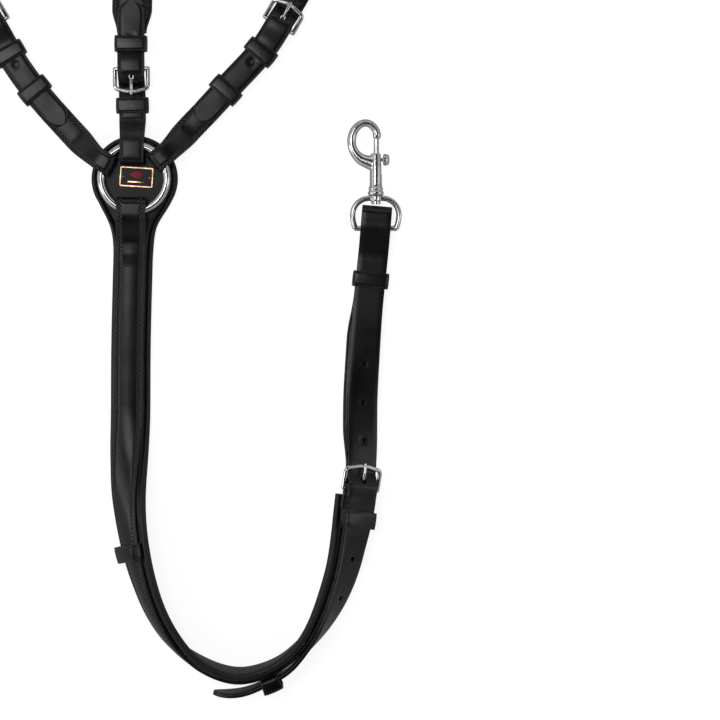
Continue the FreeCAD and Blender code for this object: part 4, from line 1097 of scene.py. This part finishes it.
# the hook swells into a web where it meets the barrel
hook = [(0.9, 33.0, 2.7, 2.7), (0.9, 34.6, 3.25, 3.3), (0.5, 38.8, 3.3, 3.4), (-2.0, 43.0, 3.2, 3.5),
        (-5.8, 45.7, 3.15, 3.6), (-9.7, 46.1, 3.15, 3.6), (-13.9, 44.3, 3.3, 3.6), (-17.4, 40.6, 3.5, 3.6),
        (-19.5, 35.8, 3.65, 3.6), (-20.1, 30.6, 3.7, 3.6), (-19.2, 25.2, 3.8, 3.6), (-16.4, 20.0, 4.1, 3.7),
        (-12.4, 16.2, 4.8, 3.8), (-8.0, 14.2, 5.4, 4.0), (-3.6, 12.6, 5.9, 4.2), (0.0, 9.5, 4.8, 4.4)]
bm = bmesh.new()
tube(bm, hook)
lathe(bm, [(-14.0, 5.8), (-13.6, 6.5), (-12.2, 6.75), (-10.9, 6.5), (-10.4, 5.6), (-9.8, 5.5), (-9.3, 6.1),
           (-8.2, 6.2), (-7.4, 5.6), (-5.6, 5.15), (2.0, 5.1), (10.0, 5.0), (16.0, 4.5), (20.2, 4.1),
           (20.9, 3.6)])
body = finish_mesh("snap_casting", bm)
melt(body, 0.36, 6)
bm = bmesh.new()
lathe(bm, [(-3.2, 2.3), (26.0, 2.3)], start=(0.5, 0.0), facets=32)
lathe(bm, [(-18.0, 2.5), (-8.6, 2.5)], facets=32)
bore = finish_mesh("bore", bm)
bm = bmesh.new()
bmesh.ops.create_cube(bm, size=1.0, matrix=Matrix.Translation(snap_point(5.0, 10.6))
                      @ Matrix.Diagonal((9.0 * mm, 14.5 * mm, 3.6 * mm, 1.0)))
channel = finish_mesh("channel", bm)
cut_away(body, bore, channel)
put_on(body, "snap", "polished_steel", cast_nickel, "snap_body")

# the swivel D: flat shoulders, sides bowed out, and a boss for the pin
d_wire_r = 2.3
d_side = [(-17.0, d_bar_y), (-18.4, -37.0), (-19.2, -31.5), (-18.3, -25.2), (-14.6, -19.9), (-9.0, -16.9)]
d_line = d_side + [(0.0, -16.3)] + [(-x, y) for x, y in reversed(d_side)]
bm = bmesh.new()
tube(bm, [(x, y, d_wire_r, d_wire_r) for x, y in d_line])
lathe(bm, [(-19.2, 3.9), (-18.7, 4.4), (-15.0, 4.5), (-14.2, 4.1), (-13.95, 3.7)])
lathe(bm, [(-18.0, 1.4), (-17.4, 2.1), (17.4, 2.1), (18.0, 1.4)], Vector((1, 0, 0)), (0.0, d_bar_y))
d_ring = finish_mesh("swivel_d", bm)
melt(d_ring, 0.36, 5)
bm = bmesh.new()
lathe(bm, [(-23.0, 2.55), (-10.0, 2.55)], facets=32)
cut_away(d_ring, finish_mesh("bore", bm))
put_on(d_ring, "swivel_eye", "polished_steel", cast_nickel, "snap_eye")

# thumb knob turned with a ringed, domed face
bm = bmesh.new()
lathe(bm, [(0.05, 2.4), (0.35, 4.2), (1.0, 4.9), (2.2, 5.0), (2.9, 4.7), (3.3, 4.35), (3.7, 4.5), (4.4, 4.3),
           (5.0, 3.5), (5.4, 2.2), (5.58, 0.4)], Vector((1, 0, 0)), (5.9, 15.6))
put_on(finish_mesh("knob", bm, 35.0), "bolt", "polished_steel", cast_nickel, "snap_thumb_knob")
for node in ("snap_bolt", "snap_swivel_pin"):
    finish_node(node, steel)
finish_node("snap_spring", spring_wire)

# ---- shoulder arms ------------------------------------------------------------------------------
# On each side a doubled chape turned round the ring and round a buckle's bar, stitched at both
# edges, and a billet that comes through the buckle and lies on it under two keepers.
arm_width = 22.0
arm_loop_width = 17.5
arm_leather = 2.6
a_half = arm_leather / 2.0
arm_base = table_gap + keeper_wall + keeper_room
on_ring_low = pad_thick + 0.4 + a_half
arm_fold = fold_room + a_half
arm_reach = math.sqrt(ring_radius ** 2 - (arm_loop_width / 2.0) ** 2) - 0.35
arm_heel_height = arm_base + skived + running + 0.05 + bar_r
arm_hole_pitch = 45.0
arm_hole_r = 1.9
arm_stretch = 1.4
arm_row = 2.8
arm_pitch = 3.3
arm_stitch, arm_thread = 2.4, 0.36
dee_wire = 3.6
dee_r = dee_wire / 2.0
stitched_arm = leather("stitched_arm_leather", black_dye, 0.31,
                       pricks=((arm_width / 2.0 - arm_row) * mm, 0.0, arm_pitch * mm))


def arm_width_at(s):
    return arm_loop_width + (arm_width - arm_loop_width) * smooth_step(s, 33.0, 58.0)


def arm_low(s):
    return on_ring_low + (arm_base + a_half - on_ring_low) * smooth_step(s, head_radius - 2.0, 66.0)


def arm_up(s):
    top = ring_height + fold_room + a_half
    lying = arm_low(s) + arm_leather + sewn
    return lying + (top - lying) * (1.0 - smooth_step(s, ring_radius + 2.0, 60.0))


def arm_billet(s, heel_s):
    x = s - heel_s
    lying = arm_base + 2 * arm_leather + sewn + free + a_half
    over_bar = arm_heel_height + bar_turn + skived / 2.0 + free + a_half
    if x < 2.0:
        return lying + (over_bar - lying) * smooth_step(x, -20.0, -1.0)
    under_toe = arm_base + 1.0 + a_half
    h = under_toe + (over_bar - under_toe) * (1.0 - smooth_step(x, 1.5, 15.0))
    return h + (table_gap + a_half - under_toe) * smooth_step(x, 24.0, 44.0)


def shoulder_arm(side, points, heel_s, tip_at, loose_at, end_s):
    course = Course(points)
    body = side + "_arm"

    def chape_place(s, h, thick, crown=0.0):
        half = arm_width_at(s) / 2.0
        return (s, h, thick, -half, half, crown)

    seam = 90.0
    places = [chape_place(s, arm_low(s), arm_leather) for s in steps_between(seam, arm_reach + 2.0)]
    places += [chape_place(s, h, arm_leather) for s, h in turn(arm_reach, ring_height, arm_fold, -90, -270)]
    for s in steps_between(arm_reach + 2.0, heel_s):
        thick = arm_leather + (skived - arm_leather) * smooth_step(s, heel_s - 14.0, heel_s - 3.0)
        if s < heel_s - 15.0:
            h = arm_up(s)
        else:
            lying = arm_base + arm_leather + sewn + thick / 2.0
            h = lying + (arm_heel_height + bar_turn - lying) * smooth_step(s, heel_s - 13.0, heel_s)
        crown = 0.5 * smooth_step(s, 36.0, 55.0) * (1.0 - smooth_step(s, 72.0, 84.0))
        places.append(chape_place(s, h, thick, crown))
    places += [chape_place(s, h, skived) for s, h in turn(heel_s, arm_heel_height, bar_turn, 90, -90)]
    for s in steps_between(heel_s - 1.0, seam + 0.4):
        thick = arm_leather + (skived - arm_leather) * smooth_step(s, heel_s - 14.0, heel_s - 3.0)
        places.append(chape_place(s, arm_base + thick / 2.0, thick))
    chape = strap(side + "_chape_leather", course, places, row=arm_row, crease=1.2)
    cut_slot(chape, course.spot(heel_s, arm_heel_height))
    put_on(chape, body, "strap_leather", stitched_arm, side + "_chape")

    spots = []
    for s in along_seam(36.0, heel_s - 16.0, arm_pitch):
        for row_side in (-1, 1):
            w = row_side * (arm_width_at(s) / 2.0 - arm_row)
            spots.append((course.spot(s, arm_up(s) + a_half - thread_sink, w), row_side))
    stitches(side + "_chape_stitches", body, spots, arm_stitch, arm_thread)

    def level_at(s):
        return arm_billet(s, heel_s)

    edge = arm_width / 2.0
    places = round_tip(level_at, tip_at + 0.2 + edge, tip_at + 0.2, arm_width, arm_leather)
    places.reverse()
    for s in steps_between(tip_at + edge + 0.3, end_s - 1.0):
        crown = 0.35 * smooth_step(s, tip_at + edge, tip_at + 30.0)
        places.append((s, level_at(s), arm_leather, -edge, edge, crown))
    down = table_gap + a_half
    turn_r = dee_r + free + a_half
    places += [(s, h, arm_leather, -edge, edge, 0.1) for s, h in turn(end_s, down + turn_r, turn_r, -90, 90)]

    def return_level(s):
        lying = level_at(s) + arm_leather + sewn
        return lying + (down + 2 * turn_r - lying) * smooth_step(s, end_s - 20.0, end_s - 2.0)

    for s in steps_between(end_s - 1.0, end_s - 38.0):
        places.append((s, return_level(s), arm_leather, -edge, edge, 0.2))
    billet = strap(side + "_billet_leather", course, places, crease=1.6)
    holes = []
    for k in (-1, 0):
        s = heel_s + prong_hole_x + k * arm_hole_pitch
        holes.append((course.sloped(s, level_at, a_half), arm_leather, 0.0 if k else arm_stretch))
    billet = punch(side + "_billet_body", billet, holes, arm_hole_r)
    put_on(billet, body, "strap_leather", bridle, side + "_billet")

    spots = []
    for s in along_seam(end_s - 34.0, end_s - 12.0, arm_pitch):
        for row_side in (-1, 1):
            w = row_side * (edge - arm_row)
            spots.append((course.spot(s, return_level(s) + a_half - 0.15, w), row_side))
    stitches(side + "_end_stitches", body, spots, arm_stitch, arm_thread)

    half = edge + keeper_room
    for kind, moving, middle in (("fixed", body, heel_s - 27.0), ("loose", side + "_loop", loose_at)):
        top = level_at(middle + keeper_width / 2.0) + a_half + keeper_room
        name = side + "_" + kind + "_keeper"
        keeper(name + "_leather", moving, name, course, middle, -half, half, arm_base - keeper_room, top)


left_points = [(0.0, 0.0), (-14.1, 7.5), (-28.0, 15.2), (-42.3, 28.0), (-55.8, 42.5), (-80.0, 70.0),
               (-98.3, 94.8), (-114.5, 122.5), (-127.5, 145.0), (-150.0, 184.0)]
right_points = [(0.0, 0.0), (13.0, 9.4), (26.2, 20.0), (45.0, 40.6), (59.6, 55.8), (84.6, 83.0),
                (108.0, 109.2), (122.0, 131.0), (133.0, 150.0), (155.0, 190.0)]
shoulder_arm("left", left_points, 176.0, 74.5, 112.0, 236.0)
shoulder_arm("right", right_points, 176.0, 72.0, 106.0, 236.0)

# ---- wither arm ---------------------------------------------------------------------------------
# A plain strap turned round the ring goes up through a buckle that faces it, and lies with its tip
# on a wider padded piece, which ends in a dee.
centre = Course([(-1.7, 0.0), (-1.7, 60.0), (-2.6, 100.0), (-1.9, 160.0), (-1.9, 230.0)])
loop_width = 20.0
padded_width = 33.3
padded_thick = 5.0
loop_reach = 17.4
centre_heel = 91.0
centre_end = 232.0
padded_from = centre_heel + 30.2
padded_level = table_gap + padded_thick + sewn
centre_top = ring_height + fold_room + a_half
centre_heel_height = padded_level + skived + running + 0.05 + bar_r
wither_tip = 147.5


def centre_half_at(s):
    return (loop_width + (arm_width - loop_width) * smooth_step(s, 33.0, 50.0)) / 2.0


def centre_low(s):
    return on_ring_low + (arm_base + a_half - on_ring_low) * smooth_step(s, head_radius - 2.0, 52.0)


def centre_up(s):
    lying = centre_low(s) + arm_leather + sewn
    lying -= arm_leather * smooth_step(s, 66.0, 76.0) * 0.6
    h = lying + (centre_top - lying) * (1.0 - smooth_step(s, ring_radius + 2.0, 50.0))
    over_bar = centre_heel_height + bar_turn + skived / 2.0 + free + a_half
    after = padded_level + arm_leather * 2 + sewn + free + a_half
    h += (over_bar - lying) * smooth_step(s, centre_heel - 16.0, centre_heel - 2.0)
    return h + (after - over_bar) * smooth_step(s, centre_heel + 4.0, centre_heel + 24.0)


places = []
for s in steps_between(72.0, loop_reach + 2.0):
    thick = feather + (arm_leather - feather) * (1.0 - smooth_step(s, 60.0, 72.0))
    half = centre_half_at(s)
    places.append((s, centre_low(s) - (arm_leather - thick) / 2.0, thick, -half, half, 0.0))
for s, h in turn(loop_reach, ring_height, arm_fold, -90, -270):
    places.append((s, h, arm_leather, -centre_half_at(s), centre_half_at(s), 0.15))
for s in steps_between(loop_reach + 1.5, wither_tip - arm_width / 2.0):
    crown = 0.35 * (1.0 - smooth_step(s, wither_tip - 30.0, wither_tip - arm_width / 2.0))
    places.append((s, centre_up(s), arm_leather, -centre_half_at(s), centre_half_at(s), crown))
places += round_tip(centre_up, wither_tip - arm_width / 2.0, wither_tip - 0.2, arm_width, arm_leather)
wither = strap("wither_strap_leather", centre, places, crease=1.6)
holes = []
for k in (0, 1):
    s = centre_heel - prong_hole_x + k * hole_pitch
    holes.append((centre.sloped(s, centre_up, a_half), arm_leather, 0.0 if k else arm_stretch))
wither = punch("wither_strap_body", wither, holes, arm_hole_r)
put_on(wither, "wither_arm", "strap_leather", bridle, "centre_strap")

places = []
edge = arm_width / 2.0
for s in steps_between(centre_heel + 40.0, centre_heel + 1.5):
    places.append((s, padded_level + skived / 2.0, skived, -edge, edge, 0.0))
places += [(s, h, skived, -edge, edge, 0.0)
           for s, h in turn(centre_heel, centre_heel_height, bar_turn, -90, -270)]
for s in steps_between(centre_heel + 1.0, centre_heel + 25.0):
    lying = padded_level + skived * 1.5 + sewn
    top = centre_heel_height + bar_turn
    places.append((s, lying + (top - lying) * (1.0 - smooth_step(s, centre_heel, centre_heel + 12.0)),
                   skived, -edge, edge, 0.0))
chape = strap("wither_chape_leather", centre, places, crease=1.2)
cut_slot(chape, centre.spot(centre_heel, centre_heel_height) @ Matrix.Rotation(math.pi, 4, "Z"))
put_on(chape, "wither_arm", "strap_leather", bridle, "centre_chape")


def padded_half(s):
    narrow = arm_width / 2.0 + 1.3
    return narrow + (padded_width / 2.0 - narrow) * smooth_step(s, padded_from, padded_from + 20.0)


# its soft pad, rolled at the sides: (distance in from the edge, height, wear, which is partly rubbing and
# partly painted highlight on the roll)
rolled_edge = [(1.8, 0.0, 0.0), (0.4, 0.9, 0.0), (0.0, 2.3, 0.3), (0.25, 3.9, 0.5), (1.1, 4.8, 0.5),
               (2.1, 4.9, 0.3), (2.9, 4.4, 0.0), (4.0, 4.9, 0.0)]
sections, marks, rows = [], [], steps_between(padded_from, centre_end - 26.0)
for s in rows:
    half = padded_half(s)
    near = smooth_step(s, padded_from, padded_from + 4.0)
    far = 1.0 - smooth_step(s, centre_end - 30.0, centre_end - 26.0)
    close = 0.35 + 0.65 * min(near, far)
    outline = []
    for sign in (1.0, -1.0):
        part = [(-sign * (half - inset), h, wear_and_highlight) for inset, h, wear_and_highlight in rolled_edge]
        part.append((-sign * half * 0.4, padded_thick, 0.0))
        outline += part if sign > 0 else list(reversed(part))
    sections.append([centre.point(s, table_gap + h * close + (1.0 - close) * 1.0, w) for w, h, _ in outline])
    marks.append([(w, wear_and_highlight) for w, _, wear_and_highlight in outline])
soft = skin("wither_pad_body", sections, marks, rows)
put_on(soft, "wither_arm", "pad_leather", pad_leather, "centre_pad")

# its face, stitched round, which narrows into the fold round the dee
end_level = table_gap + a_half
end_turn = dee_r + free + a_half
face_inset = 2.5
face_row = 3.0


def face_level(s):
    lift = (skived + sewn) * (1.0 - smooth_step(s, centre_heel + 41.0, centre_heel + 52.0))
    drop = smooth_step(s, centre_end - 25.0, centre_end - 8.0)
    lying = padded_level + lift + a_half
    return lying + (end_level - lying) * drop


def face_half(s):
    half = padded_half(s) - face_inset
    return half + (edge - half) * smooth_step(s, centre_end - 40.0, centre_end - 10.0)


places = []
for s in steps_between(padded_from, centre_end - 0.5):
    crown = 0.9 * smooth_step(s, wither_tip - 4.0, wither_tip + 10.0) * (1.0 - smooth_step(s, 190.0, 205.0))
    places.append((s, face_level(s), arm_leather, -face_half(s), face_half(s), crown))
places += [(s, h, arm_leather, -edge, edge, 0.0)
           for s, h in turn(centre_end, end_level + end_turn, end_turn, -90, 90)]
for s in steps_between(centre_end - 1.0, centre_end - 24.0):
    lying = face_level(s) + arm_leather + 0.3
    rise = smooth_step(s, centre_end - 16.0, centre_end - 1.0)
    places.append((s, lying + (end_level + 2 * end_turn - lying) * rise, arm_leather, -edge, edge, 0.0))
stitched_face = leather("stitched_face_leather", black_dye, 0.33,
                        pricks=((padded_width / 2.0 - face_inset - face_row) * mm, 0.0, arm_pitch * mm))
face = strap("wither_face_leather", centre, places, row=face_row, crease=1.3)
put_on(face, "wither_arm", "strap_leather", stitched_face, "centre_face")
spots = []
for s in along_seam(padded_from + 3.0, centre_end - 26.0, arm_pitch):
    for side in (-1, 1):
        w = side * (face_half(s) - face_row)
        spots.append((centre.spot(s, face_level(s) + a_half - thread_sink, w), side))
stitches("wither_face_stitches", "wither_arm", spots, arm_stitch, arm_thread)

half = edge + keeper_room
lower, upper = 60.8, centre_heel + 20.7
keeper("wither_lower_keeper_leather", "wither_arm", "centre_lower_keeper", centre, lower, -half, half,
       arm_base - keeper_room, centre_up(lower) + a_half + keeper_room)
keeper("wither_upper_keeper_leather", "wither_arm", "centre_upper_keeper", centre, upper, -half, half,
       padded_level - keeper_room, centre_up(upper - keeper_width / 2.0) + a_half + keeper_room)
